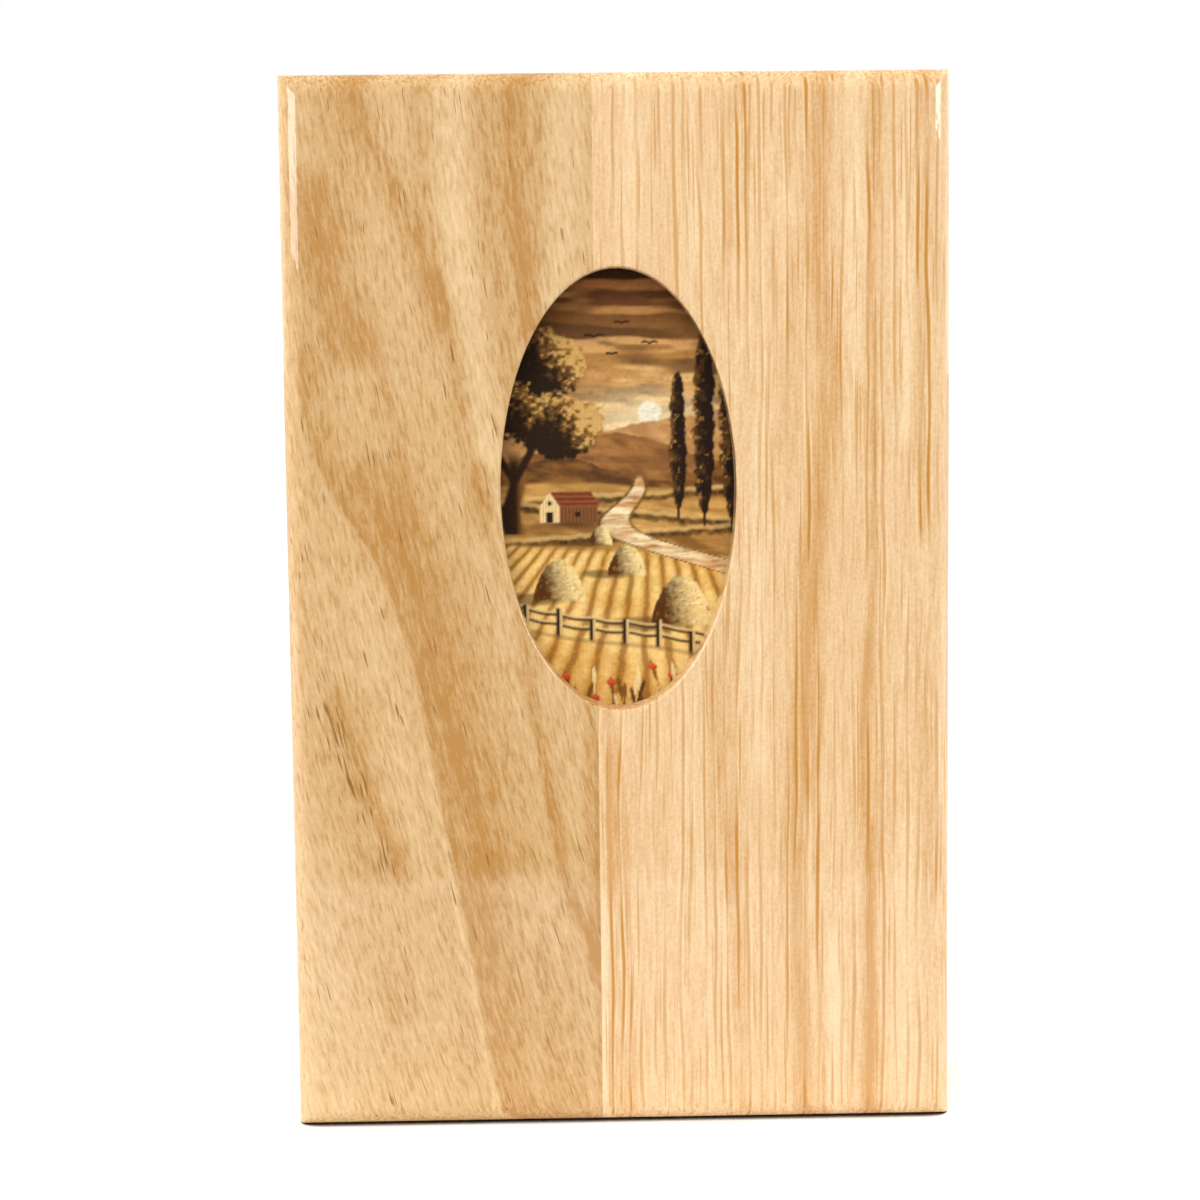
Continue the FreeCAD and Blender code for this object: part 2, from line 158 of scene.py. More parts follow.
def make_piece(name, points, faces, body):
    """A mesh object from points in millimetres. Edges that turn more than 35 degrees stay crisp."""
    mesh = bpy.data.meshes.new(name)
    mesh.from_pydata((np.asarray(points, float) / METRE).tolist(), [], faces)
    mesh.validate()
    mesh.polygons.foreach_set("use_smooth", np.ones(len(mesh.polygons), bool))
    mesh.set_sharp_from_angle(angle=math.radians(35.0))
    piece = bpy.data.objects.new(name, mesh)
    scene.collection.objects.link(piece)
    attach(piece, body)
    return piece


def grid_faces(rows, columns, close_rows=False, flip=False):
    """Quads over a grid whose points are stored row by row. close_rows joins the last row to the first."""
    last = rows if close_rows else rows - 1
    row, column = np.meshgrid(np.arange(last), np.arange(columns - 1), indexing="ij")
    after = (row + 1) % rows
    quads = np.stack([row * columns + column, row * columns + column + 1,
                      after * columns + column + 1, after * columns + column], -1).reshape(-1, 4)
    return (quads[:, ::-1] if flip else quads).tolist()


# ------------------------------------------------------------------------------------------- front boards

# How much of the outline's share a rounded corner takes on each side, and the grid's steps.
CORNER_SHARE = 0.01
END_STEPS, SIDE_STEPS, FACE_STEPS, CORNER_STEPS, WALL_STEPS, ROUND_STEPS = 100, 240, 80, 6, 5, 11


def window_points(angle_share, side, grow):
    """The window's ellipse, grown by a margin, on one side of the glue joint.

    X is the half width times the sine of an angle and Z drops by the half height times its cosine. The
    angle runs from where the ellipse leaves the joint at the bottom to where it meets it again on top.
    """
    half_width, half_height = WINDOW_HALF_WIDTH + grow, WINDOW_HALF_HEIGHT + grow
    start = math.asin(JOINT / half_width)
    end = side * math.pi - start
    corner_low = math.atan2(side * HALF_WIDTH / half_width, WINDOW_MID / half_height)
    corner_high = math.atan2(side * HALF_WIDTH / half_width, (WINDOW_MID - HEIGHT) / half_height)
    angle = np.interp(angle_share, [0, 1, 2, 3], [start, corner_low, corner_high, end])
    return half_width * np.sin(angle), WINDOW_MID - half_height * np.cos(angle)


def outline_points(share, side, inset):
    """The board's outline, set in by a margin, from the joint at the foot round to the joint on top.

    The foot, the side and the top take one unit of the share each. Where two of them meet, a quarter circle
    takes a hundredth on each side of the corner, and its radius shrinks as the outline moves in.
    """
    radius = max(CORNER_EASE * (1 - inset / EDGE_ROUND), 0.02)
    edge = HALF_WIDTH - inset
    low, high = inset, HEIGHT - inset
    knots = [0, 1 - CORNER_SHARE, 1 + CORNER_SHARE, 2 - CORNER_SHARE, 2 + CORNER_SHARE, 3]
    x = np.interp(share, knots, [side * JOINT, edge - radius, edge, edge, edge - radius, side * JOINT])
    z = np.interp(share, knots, [low, low, low + radius, high - radius, high, high])
    for corner, centre_z, sign in ((1, low + radius, -1), (2, high - radius, 1)):
        turn = (share - corner) / CORNER_SHARE * math.pi / 4 + math.pi / 4
        turn = turn if sign < 0 else math.pi / 2 - turn
        bend = np.abs(share - corner) <= CORNER_SHARE
        x = np.where(bend, edge - radius + radius * np.sin(turn), x)
        z = np.where(bend, centre_z + sign * radius * np.cos(turn), z)
    return side * x, z


def front_board(name, side):
    """Half of the front panel, as one closed skin.

    A profile is carried round from joint to joint. It starts at the back of the window's wall, comes
    forward, turns over an eased rim, crosses the face in straight lines to the outline, turns over a
    quarter round and goes back to the inner side. Flat caps close it on the glue joint.
    """
    corner = np.linspace(-CORNER_SHARE, CORNER_SHARE, CORNER_STEPS)
    share = np.concatenate([np.linspace(0, 1 - CORNER_SHARE, END_STEPS)[:-1], 1 + corner,
                            np.linspace(1 + CORNER_SHARE, 2 - CORNER_SHARE, SIDE_STEPS)[1:-1], 2 + corner,
                            np.linspace(2 + CORNER_SHARE, 3, END_STEPS)[1:]])
    rows = []
    for depth in np.linspace(FRONT_INNER, FACE + WINDOW_EASE, WALL_STEPS):
        rows.append((*window_points(share, side, 0), depth))
    for turn in np.linspace(0, math.pi / 2, WALL_STEPS)[1:]:
        grow = WINDOW_EASE * (1 - math.cos(turn))
        rows.append((*window_points(share, side, grow), FACE + WINDOW_EASE * (1 - math.sin(turn))))
    rim_x, rim_z = window_points(share, side, WINDOW_EASE)
    flat_x, flat_z = outline_points(share, side, EDGE_ROUND)
    for part in np.linspace(0, 1, FACE_STEPS)[1:]:
        rows.append((rim_x + (flat_x - rim_x) * part, rim_z + (flat_z - rim_z) * part, FACE))
    for turn in np.linspace(0, math.pi / 2, ROUND_STEPS)[1:]:
        inset = EDGE_ROUND * (1 - math.sin(turn))
        rows.append((*outline_points(share, side, inset), FACE + EDGE_ROUND * (1 - math.cos(turn))))
    rows.append((*outline_points(share, side, 0), FRONT_INNER))
    points = np.stack([np.stack([x, np.full_like(x, y), z], -1) for x, z, y in rows])
    count, columns = points.shape[:2]
    faces = grid_faces(count, columns, close_rows=True, flip=side > 0)
    first_cap = [row * columns for row in range(count)]
    last_cap = [row * columns + columns - 1 for row in reversed(range(count))]
    for cap in (first_cap, last_cap):
        faces.append(cap if side < 0 else cap[::-1])
    board = make_piece(name, points.reshape(-1, 3), faces, "case")
    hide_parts(name)
    return board, points.reshape(-1, 3)


def smooth_curve(height, knots):
    """A smooth line through a few (height, place) knots: cubics whose slopes come from their neighbours."""
    heights, places = np.array(knots, float).T
    slopes = np.gradient(places, heights)
    part = np.clip(np.searchsorted(heights, height) - 1, 0, len(heights) - 2)
    span = heights[part + 1] - heights[part]
    t = np.clip((height - heights[part]) / span, 0, 1)
    return ((2 * t**3 - 3 * t**2 + 1) * places[part] + (t**3 - 2 * t**2 + t) * span * slopes[part]
            + (3 * t**2 - 2 * t**3) * places[part + 1] + (t**3 - t**2) * span * slopes[part + 1])


# The growth ring that crosses the flat-sawn board from its side to its foot: (height, x) knots up the face.
LONG_RING = [(-4, -15.5), (0, -16.3), (10, -18.1), (20, -19.9), (30, -21.6), (40, -23.4), (50, -25.3),
             (60, -26.9), (70, -29.5), (80, -33.5), (86, -37.3), (91, -39.9), (98, -42.0), (106, -42.8)]

# Streaks of a board: how dark, how soft to the left and to the right, in millimetres, and the knots. A light
# streak has a share below 0.
FLAT_STREAKS = [
    # The long ring, its crisp edge, and the darker wood beside it.
    (0.38, 0.5, 4.0, LONG_RING),
    (0.22, 0.3, 1.0, LONG_RING),
    (0.54, 2.0, 6.5, [(38, -18.8), (50, -21.4), (60, -23.6), (74, -26.8), (82, -30.4), (90, -34.6)]),
    (0.22, 2.2, 4.0, [(-4, -11.4), (10, -14.4), (20, -16.2), (36, -18.8)]),
    (-0.35, 0.5, 0.5, [(-4, -16.6), (10, -19.2), (20, -21.0), (30, -22.7), (40, -24.5), (52, -26.8)]),
    # Painted light that makes the left of the foot paler, and a thin line beside the glue joint.
    (-0.22, 5.0, 6.0, [(-4, -43.0), (38, -44.0)]),
    (-0.10, 8.0, 12.0, [(-4, -34.0), (20, -34.0)]),
    (0.45, 0.4, 0.4, [(-4, -3.4), (20, -3.3), (50, -3.4)]),
    # The ring that comes down from the left of the top, passes the window and meets the glue joint.
    (0.30, 0.9, 0.8, [(24, -4.0), (30, -6.4), (35, -8.0), (40, -8.9), (46, -10.0)]),
    (0.40, 0.6, 1.5, [(24, -4.0), (30, -6.4), (35, -8.0), (40, -8.9), (50, -10.8), (60, -12.4), (70, -14.0),
                      (80, -17.4), (90, -19.5)]),
    (0.35, 1.6, 1.4, [(86, -18.8), (100, -21.1), (110, -22.9), (115, -24.2)]),
    (0.42, 2.4, 1.8, [(112, -23.4), (120, -26.4), (126, -28.6), (132, -31.2), (138, -33.6), (150, -37.0)]),
    # Dark bands above the window, and broad ones in the upper left.
    (0.24, 1.4, 1.2, [(118, -24.6), (124, -25.4), (130, -25.9), (150, -26.4)]),
    (0.75, 1.8, 1.6, [(111, -11.8), (116, -12.3), (120, -12.9), (130, -13.5), (150, -13.4)]),
    (0.30, 2.2, 1.6, [(104, -14.4), (110, -15.2), (116, -16.2), (125, -17.0), (150, -16.8)]),
    (0.25, 1.6, 1.2, [(118, -10.0), (130, -10.6), (150, -10.4)]),
    (0.60, 3.8, 3.6, [(108, -35.8), (113, -37.6), (119, -39.4), (128, -41.6)]),
    (0.20, 1.6, 1.6, [(84, -28.4), (96, -30.2), (106, -32.6), (114, -35.0)]),
    (0.30, 3.4, 3.4, [(122, -37.5), (134, -37.0), (150, -37.6)]),
    # The wood that the crowded pores darken.
    (0.25, 3.5, 4.5, [(37, -33.5), (44, -35.5), (58, -37.8)]),
    (0.35, 1.1, 1.1, [(38, -30.8), (42, -32.8), (46, -35.0)]),
    (0.40, 1.1, 1.1, [(50, -35.6), (54, -36.8), (59, -38.8)]),
    # Narrow bands along the glue joint, below the window and at the foot.
    (0.35, 1.0, 0.9, [(22, -3.9), (40, -4.2), (62, -4.4)]),
    (0.30, 1.4, 1.4, [(-4, -8.6), (10, -9.6), (24, -11.0)]),
    (0.25, 1.0, 1.0, [(-4, -5.6), (10, -6.6), (22, -7.6)]),
    # Pale wood between the dark bands.
    (-0.40, 2.2, 2.4, [(94, -18.2), (104, -18.8), (114, -20.4), (128, -21.8), (150, -22.0)]),
    (-0.25, 2.0, 2.0, [(72, -14.6), (84, -17.2), (94, -17.8)]),
    (-0.30, 2.2, 2.6, [(106, -8.6), (114, -8.0), (126, -7.2), (150, -7.0)]),
    # The tone of the foot as a whole, a blot on it, and pale wood to the left of the long ring.
    (0.12, 13.0, 17.0, [(-4, -24.0), (36, -24.0)]),
    (0.30, 2.6, 2.6, [(17, -31.0), (20, -31.6)]),
    (-0.20, 2.0, 2.0, [(36, -27.0), (50, -30.0), (64, -32.6), (74, -36.0)]),
]

# Where the open pores of the flat-sawn board crowd together.
PITTED = [(1.0, 2.4, 2.0, [(36, -31.4), (42, -34.0), (50, -37.2), (58, -40.2)])]

RIFT_STREAKS = [
    # The broad band that runs the whole height, and the lines at its right.
    (0.60, 2.0, 1.8, [(-4, 25.6), (10, 25.4), (20, 24.6), (30, 24.3), (40, 24.0), (50, 24.6), (60, 25.3),
                      (70, 25.8), (80, 26.6), (88, 27.6), (95, 28.2), (105, 28.7), (112, 27.8), (125, 27.0),
                      (148, 27.4)]),
    (0.12, 1.8, 1.8, [(44, 24.8), (62, 25.4), (70, 25.6), (84, 25.8)]),
    (0.30, 0.8, 0.8, [(-4, 33.6), (10, 33.6), (26, 34.0), (42, 34.2)]),
    (0.55, 0.6, 0.6, [(-4, 34.0), (20, 34.2), (34, 34.2), (48, 33.2), (58, 33.3), (70, 34.3), (84, 34.8),
                      (112, 34.3), (148, 34.9)]),
    (0.25, 1.6, 1.6, [(-4, 34.0), (20, 34.2), (44, 34.0), (66, 34.2)]),
    # Short bands at the right edge, and to the right of the window.
    (0.40, 1.2, 1.2, [(84, 41.4), (98, 41.0), (116, 41.2), (148, 41.0)]),
    (0.30, 0.9, 0.9, [(34, 42.8), (50, 41.6), (72, 40.8)]),
    (0.35, 1.4, 1.4, [(122, 15.8), (130, 16.2), (148, 16.6)]),
    (0.30, 1.2, 1.2, [(34, 15.0), (42, 14.2), (50, 13.4), (62, 13.0)]),
    (0.25, 1.4, 1.0, [(-4, 16.6), (16, 16.2), (40, 15.4)]),
    # Fine lines along the glue joint and beside the broad band, dark and pale.
    (0.60, 0.4, 0.4, [(-4, -1.7), (8, -1.8), (20, -1.6), (50, -1.9)]),
    (-0.40, 0.5, 0.4, [(-4, -2.6), (20, -2.5), (50, -2.6)]),
    (0.25, 1.4, 0.7, [(-4, -0.2), (20, 0.0), (50, -0.5)]),
    (0.40, 0.6, 0.3, [(-4, 1.5), (14, 1.3), (24, 1.0), (50, 0.2)]),
    (0.50, 0.6, 0.3, [(-4, 27.7), (20, 27.3), (44, 26.7), (60, 27.7)]),
    (-0.40, 0.7, 0.6, [(-4, 26.6), (20, 26.3), (44, 25.7)]),
    (0.35, 1.8, 1.2, [(34, -1.6), (46, -1.9), (60, -2.2)]),
    (0.25, 1.5, 1.5, [(94, 23.6), (106, 23.2), (120, 24.2)]),
    # Pale stripes.
    (-0.30, 1.2, 1.2, [(118, 1.0), (130, 1.6), (148, 1.6)]),
    (-0.35, 0.5, 0.5, [(122, 10.6), (134, 10.5), (148, 10.5)]),
    (-0.30, 1.6, 1.6, [(50, 19.0), (70, 18.6), (96, 18.8)]),
    (-0.30, 1.2, 1.2, [(90, 31.6), (110, 31.8), (148, 32.0)]),
    (-0.35, 0.8, 0.8, [(96, 39.0), (120, 39.0), (148, 39.2)]),
    (-0.40, 1.3, 1.0, [(-4, 29.2), (14, 29.4), (24, 28.8)]),
    (-0.25, 1.5, 1.5, [(-4, 38.4), (20, 38.6), (40, 38.8)]),
]


def streak_field(points, streaks, lean):
    """How dark the streaks make each point: the sum of their shares.

    A streak is a flat bell across its line, of one width on the left and one on the right. It fades out
    over 5 mm past its ends. Below the face it moves sideways by lean millimetres to each one, so that it
    crosses the rounded edges askew.
    """
    across = points[:, 0] - lean * (points[:, 1] - FACE)
    height = points[:, 2]
    field = np.zeros(len(points))
    fade, flatness = 5.0, 2.6
    for share, soft_left, soft_right, knots in streaks:
        aside = across - smooth_curve(height, knots)
        bell = np.exp(-np.abs(aside / np.where(aside < 0, soft_left, soft_right)) ** flatness)
        ends = (np.clip((height - knots[0][0]) / fade + 1, 0, 1)
                * np.clip((knots[-1][0] - height) / fade + 1, 0, 1))
        field += share * bell * ends**2 * (3 - 2 * ends)
    return field


def left_board_drift(points):
    """How far the fibres have strayed sideways: by 0.12 mm to each one below the top, and more lower down."""
    down = HEIGHT - points[:, 2]
    return 0.12 * down + 0.0006 * down**2


def store(piece, name, values):
    """Keeps one number for each point of a piece, for its material to read."""
    layer = piece.data.attributes.new(name, "FLOAT", "POINT")
    layer.data.foreach_set("value", np.asarray(values, np.float32))


# -------------------------------------------------------------------------------------------------- wood

# For each axis that fibres can follow: the turn that brings it upright, and its direction.
GRAIN_TURNS = {"Z": (0.0, 0.0, 0.0), "X": (0.0, -math.pi / 2, 0.0), "Y": (math.pi / 2, 0.0, 0.0)}
GRAIN_AXES = {"Z": (0.0, 0.0, 1.0), "X": (1.0, 0.0, 0.0), "Y": (0.0, 1.0, 0.0)}


def place_in_log(node, grain, tilt, offset, leaning):
    """Where each point lies in its log, in millimetres, with the third axis along the grain."""
    place = node("TexCoord", out="Object")
    turn_x, turn_y, turn_z = GRAIN_TURNS[grain]
    grain_mm = node("Mapping", {"Vector": place, "Rotation": (turn_x + tilt, turn_y, turn_z),
                                "Scale": (METRE,) * 3})
    grain_mm = node("VectorMath:ADD", {0: grain_mm, 1: offset})
    if leaning:
        drift = node("Attribute", out="Fac", attribute_name="drift")
        shift = node("CombineXYZ", {"X": drift})
        grain_mm = node("VectorMath:SUBTRACT", {0: grain_mm, 1: shift})
    return grain_mm


def fibre_noise(node, place, across, along, detail, roughness=0.5):
    """Noise that is stretched along the fibres: so many waves to a millimetre across them and along them."""
    stretched = node("VectorMath:MULTIPLY", {0: place, 1: (across, across, along)})
    return node("TexNoise", {"Vector": stretched, "Scale": 1.0, "Detail": detail, "Roughness": roughness})


def growth_rings(node, swayed, cloud, bundle, pith, ring_width, wander):
    """How far each point is through its ring, from 0 to 1, and the ring's own random number.

    A ring is the distance from the pith over the ring width, frayed by the bundles of fibres.
    """
    from_pith = node("VectorMath:SUBTRACT", {0: swayed, 1: (*pith, 0.0)})
    from_pith = node("VectorMath:MULTIPLY", {0: from_pith, 1: (1.0, 1.0, 0.0)})
    radius = node("VectorMath:LENGTH", {0: from_pith}, out="Value")
    rings = node("Math:DIVIDE", {0: radius, 1: ring_width})
    rings = node("Math:MULTIPLY_ADD", {0: cloud, 1: wander, 2: rings})
    rings = node("Math:MULTIPLY_ADD", {0: bundle, 1: 0.3, 2: rings})
    phase = node("Math:FRACT", {0: rings})
    number = node("Math:FLOOR", {0: rings})
    return phase, node("TexWhiteNoise", {"W": number}, noise_dimensions="1D")


def pore_rows(node, swayed, phase, luck, figure, ring_width, dash_length):
    """A row of open pores somewhere inside each ring, in dashes half a millimetre wide, and a pale painted
    highlight on each side of the row.

    Where a board brings its own figure, the pores crowd in its dark bands.
    """
    half_row = 0.33 / ring_width
    strayed = node("Math:MULTIPLY_ADD", {0: luck, 1: 0.5, 2: 0.25})
    aside = node("Math:SUBTRACT", {0: phase, 1: strayed})
    aside = node("Math:ABSOLUTE", {0: aside})
    core = node("MapRange", {"Value": aside, "From Min": half_row * 0.35, "From Max": half_row, "To Min": 1.0,
                             "To Max": 0.0}, **SMOOTH)
    # A painted highlight: the wood is made paler on each side of the row.
    lip_highlight = node("MapRange", {"Value": aside, "From Min": half_row, "From Max": half_row * 2.6, "To Min": 1.0,
                             "To Max": 0.0}, **SMOOTH)
    dash = fibre_noise(node, swayed, 0.9, 1.0 / dash_length, 2.0)
    dash = node("MapRange", {"Value": dash, "From Min": 0.42, "From Max": 0.60}, **SMOOTH)
    if figure is not None:
        crowd = node("MapRange", {"Value": figure, "From Min": -0.1, "From Max": 0.35, "To Min": 0.52,
                                  "To Max": 1.2})
        dash = node("Math:MULTIPLY", {0: dash, 1: crowd})
    return [node("Math:MULTIPLY", {0: part, 1: dash}) for part in (core, lip_highlight)]


def single_pores(node, swayed, leaning, line_length, line_from):
    """Single pores between the rows, thin and long. On a leaning board they crowd where it is pitted."""
    lines = fibre_noise(node, swayed, 2.7, 1.0 / line_length, 1.0)
    if leaning:
        pits = node("Attribute", out="Fac", attribute_name="pits")
        lines = node("Math:MULTIPLY_ADD", {0: pits, 1: 0.15, 2: lines})
    return node("MapRange", {"Value": lines, "From Min": line_from, "From Max": line_from + 0.12}, **SMOOTH)


def cut_across(node, grain):
    """How far a surface is cut across the fibres: 0 along them, and 1 on the end grain."""
    facing = node("TexCoord", out="Normal")
    facing = node("VectorMath:DOT_PRODUCT", {0: facing, 1: GRAIN_AXES[grain]}, out="Value")
    facing = node("Math:ABSOLUTE", {0: facing})
    return node("MapRange", {"Value": facing, "From Min": 0.45, "From Max": 0.95}, **SMOOTH)


def lacquered(node, tone, swayed, bundle, flecks, pores, end_grain, gloss):
    """Wood of a given tone under a lacquer that bridges the fibres and sinks a little into the pores.

    End grain drinks the lacquer, so it is duller.
    """
    relief = node("Math:MULTIPLY_ADD", {0: pores, 1: -0.6, 2: 0.5})
    relief = node("Math:MULTIPLY_ADD", {0: flecks, 1: -0.25, 2: relief})
    bump = node("Bump", {"Strength": 0.3, "Distance": 0.0001, "Height": relief})
    waves = fibre_noise(node, swayed, 0.35, 0.12, 2.0)
    waves = node("Math:MULTIPLY_ADD", {0: flecks, 1: -0.03, 2: waves})
    film = node("Bump", {"Strength": 0.25, "Distance": 0.00025, "Height": waves})
    rough = node("MapRange", {"Value": bundle, "To Min": 0.02, "To Max": 0.05})
    rough = node("Math:MULTIPLY_ADD", {0: end_grain, 1: 0.35, 2: rough})
    coat = node("MapRange", {"Value": end_grain, "To Min": gloss, "To Max": 0.03 * gloss})
    return node("BsdfPrincipled", {"Base Color": tone, "Roughness": 0.5, "Specular IOR Level": 0.15,
                                   "Normal": bump, "Coat Weight": coat, "Coat Roughness": rough,
                                   "Coat Normal": film})


def oak(name, grain="Z", tilt=0.0, pith=(30.0, 40.0), ring_width=4.0, light="#EFC890", dark="#CD9A58",
        pore="#B67C34", ring_depth=0.5, mottle=1.0, row=0.0, dash_length=13.0, fleck=0.6, fleck_length=2.5,
        grit_share=0.35, line=0.0, line_length=11.0, line_from=0.61, sway_by=3.0, wander=3.0, gloss=1.0,
        figured=False, leaning=False, offset=(0.0, 0.0, 0.0)):
    """White oak, planed and sanded, under a satin lacquer.

    The eye sees growth rings as soft bands with one crisp edge each, rows of open pores, and a close weave
    of short light and dark flecks along the fibres. The pattern is solid: it depends on the place in the
    log alone. A figured board brings bands of its own, and a leaning one the drift of its fibres too.

    The fibres follow the axis named grain, but for the tilt. ring_depth, mottle, fleck and grit_share say
    how much the rings, the clouds, the flecks and the grit darken the wood. row and line say how dark the
    rows of pores and the single pores are, and line_from how rare these are. sway_by and wander say how far
    the fibres and the rings stray, and gloss how much lacquer there is. Lengths are millimetres.
    """
    material, node = new_material(name)
    grain_mm = place_in_log(node, grain, tilt, offset, leaning)

    # The fibres sway a little, over 20 mm across and 60 mm along.
    slow = node("VectorMath:MULTIPLY", {0: grain_mm, 1: (0.05, 0.05, 0.017)})
    sway = node("TexNoise", {"Vector": slow, "Scale": 1.0, "Detail": 2.0}, out="Color")
    sway = node("VectorMath:SUBTRACT", {0: sway, 1: (0.5, 0.5, 0.5)})
    sway = node("VectorMath:MULTIPLY", {0: sway, 1: (sway_by, sway_by, 0.0)})
    swayed = node("VectorMath:ADD", {0: grain_mm, 1: sway})

    # Bundles of fibres 2 mm wide and 30 mm long, and clouds 9 mm wide and as long.
    bundle = fibre_noise(node, swayed, 0.6, 0.03, 2.0)
    cloud = node("TexNoise", {"Vector": slow, "Scale": 2.2, "Detail": 1.0})

    # Flecks: short fibres and pores half a millimetre wide, dark ones and weaker light ones. Grit is finer.
    flecks = fibre_noise(node, swayed, 2.2, 1.0 / fleck_length, 1.5, 0.6)
    dark_fleck = node("MapRange", {"Value": flecks, "From Min": 0.50, "From Max": 0.68}, **SMOOTH)
    light_fleck = node("MapRange", {"Value": flecks, "From Min": 0.48, "From Max": 0.30}, **SMOOTH)
    flecks = node("Math:MULTIPLY_ADD", {0: light_fleck, 1: -0.7, 2: dark_fleck})
    grit = fibre_noise(node, swayed, 2.8, 1.9, 1.0)

    # Each ring is dark from its crisp edge and fades to the next.
    phase, luck = growth_rings(node, swayed, cloud, bundle, pith, ring_width, wander)
    edge = node("MapRange", {"Value": phase, "From Max": 0.06}, **SMOOTH)
    fade = node("MapRange", {"Value": phase, "From Max": 0.9, "To Min": 1.0, "To Max": 0.0})
    band = node("Math:MULTIPLY", {0: edge, 1: fade})
    band = node("Math:MULTIPLY", {0: band, 1: luck})

    figure = node("Attribute", out="Fac", attribute_name="figure") if figured else None
    core, lip_highlight = pore_rows(node, swayed, phase, luck, figure, ring_width, dash_length)
    lines = single_pores(node, swayed, leaning, line_length, line_from)
    lines = node("Math:MULTIPLY", {0: lines, 1: line})
    core = node("Math:MULTIPLY", {0: core, 1: row})
    pores = node("Math:MAXIMUM", {0: core, 1: lines})

    # Everything adds up to a share of the dark tone, and the pores go on top. Strands break up the figure,
    # and the end grain shows its cut pores as dots.
    share = node("Math:MULTIPLY", {0: band, 1: ring_depth})
    if figured:
        strands = fibre_noise(node, swayed, 1.3, 0.07, 2.5)
        strands = node("MapRange", {"Value": strands, "From Min": 0.3, "From Max": 0.7, "To Min": 0.72,
                                    "To Max": 1.22})
        share = node("Math:MULTIPLY", {0: figure, 1: strands})
    # The pale rims of the pore rows lighten the wood: a painted highlight.
    share = node("Math:MULTIPLY_ADD", {0: lip_highlight, 1: -0.35 * row, 2: share})
    for part, amount in ((cloud, 0.6 * mottle), (bundle, 0.5 * mottle), (grit, grit_share)):
        part = node("Math:SUBTRACT", {0: part, 1: 0.5})
        share = node("Math:MULTIPLY_ADD", {0: part, 1: amount, 2: share})
    share = node("Math:MULTIPLY_ADD", {0: flecks, 1: fleck, 2: share})
    end_grain = cut_across(node, grain)
    dots = node("MapRange", {"Value": grit, "From Min": 0.35, "From Max": 0.65, "To Min": -0.35,
                             "To Max": 0.75})
    share = node("Math:MULTIPLY_ADD", {0: end_grain, 1: dots, 2: share})
    share = node("Math:ADD", {0: share, 1: 0.25})
    share = node("Math:MINIMUM", {0: share, 1: 1.06})
    tone = node("Mix", {0: share, 6: linear(light), 7: linear(dark)}, out=2, data_type="RGBA",
                clamp_factor=False)
    tone = node("Mix", {0: pores, 6: tone, 7: linear(pore)}, out=2, data_type="RGBA")
    shader = lacquered(node, tone, swayed, bundle, flecks, pores, end_grain, gloss)
    node("OutputMaterial", {"Surface": shader}, out=None)
    return material


def dress(name, material):
    """Gives a CAD node its material."""
    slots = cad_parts[name].data.materials
    slots.clear()
    slots.append(material)


# ------------------------------------------------------------------------------------------------- cards

# A card's half width, the foot and the top of the deck, a card's corners and its thickness, the front of the
# cards under the top one, and how many these are. A card is thinner than its place by two gaps.
CARD_HALF_WIDTH, CARD_LOW, CARD_HIGH, CARD_RADIUS, CARD_THICK = 31.75, 43.5, 132.4, 3.2, 0.3
CARD_FRONT, CARD_COUNT, CARD_GAP = -9.8, 53, 0.01
CARD_TALL = CARD_HIGH - CARD_LOW
CARD_MID = (CARD_LOW + CARD_HIGH) / 2
SHIFT_SPREAD, SHIFT_MOST = 0.11, 0.3


def card_outline(share):
    """Half the width of a card at each share of its height: full, but for the rounded corners."""
    from_end = np.minimum(share, 1 - share) * CARD_TALL
    short = np.clip(CARD_RADIUS - from_end, 0, CARD_RADIUS)
    return CARD_HALF_WIDTH - CARD_RADIUS + np.sqrt(CARD_RADIUS**2 - short**2)


def card_pack():
    """The cards under the top one, squared up by hand: each a fraction of a millimetre off its neighbours.

    A card is a closed prism over a rounded outline. Its shift sideways and upwards is drawn at random.
    """
    random = np.random.default_rng(52)
    turn = np.linspace(0, math.pi / 2, 7)
    ring = []
    for quarter, (along, up) in enumerate(((1, 1), (-1, 1), (-1, -1), (1, -1))):
        angle = turn + quarter * math.pi / 2
        ring.append(np.stack([along * (CARD_HALF_WIDTH - CARD_RADIUS) + CARD_RADIUS * np.cos(angle),
                              up * (CARD_TALL / 2 - CARD_RADIUS) + CARD_RADIUS * np.sin(angle)], 1))
    ring = np.concatenate(ring)
    around, points, faces, numbers = len(ring), [], [], []
    for card in range(CARD_COUNT):
        shift = random.normal(0, SHIFT_SPREAD, 2).clip(-SHIFT_MOST, SHIFT_MOST)
        near = CARD_FRONT + card * CARD_THICK + CARD_GAP
        for depth in (near, near + CARD_THICK - 2 * CARD_GAP):
            points.append(np.stack([ring[:, 0] + shift[0], np.full(around, depth),
                                    ring[:, 1] + CARD_MID + abs(shift[1])], 1))
        front, back = 2 * card * around, (2 * card + 1) * around
        faces.append([front + corner for corner in range(around)])
        faces.append([back + corner for corner in reversed(range(around))])
        for corner in range(around):
            after = (corner + 1) % around
            faces.append([front + after, front + corner, back + corner, back + after])
        numbers += [card] * (2 * around)
    pack = make_piece("card_pack", np.concatenate(points), faces, "drawer")
    store(pack, "card", numbers)
    return pack


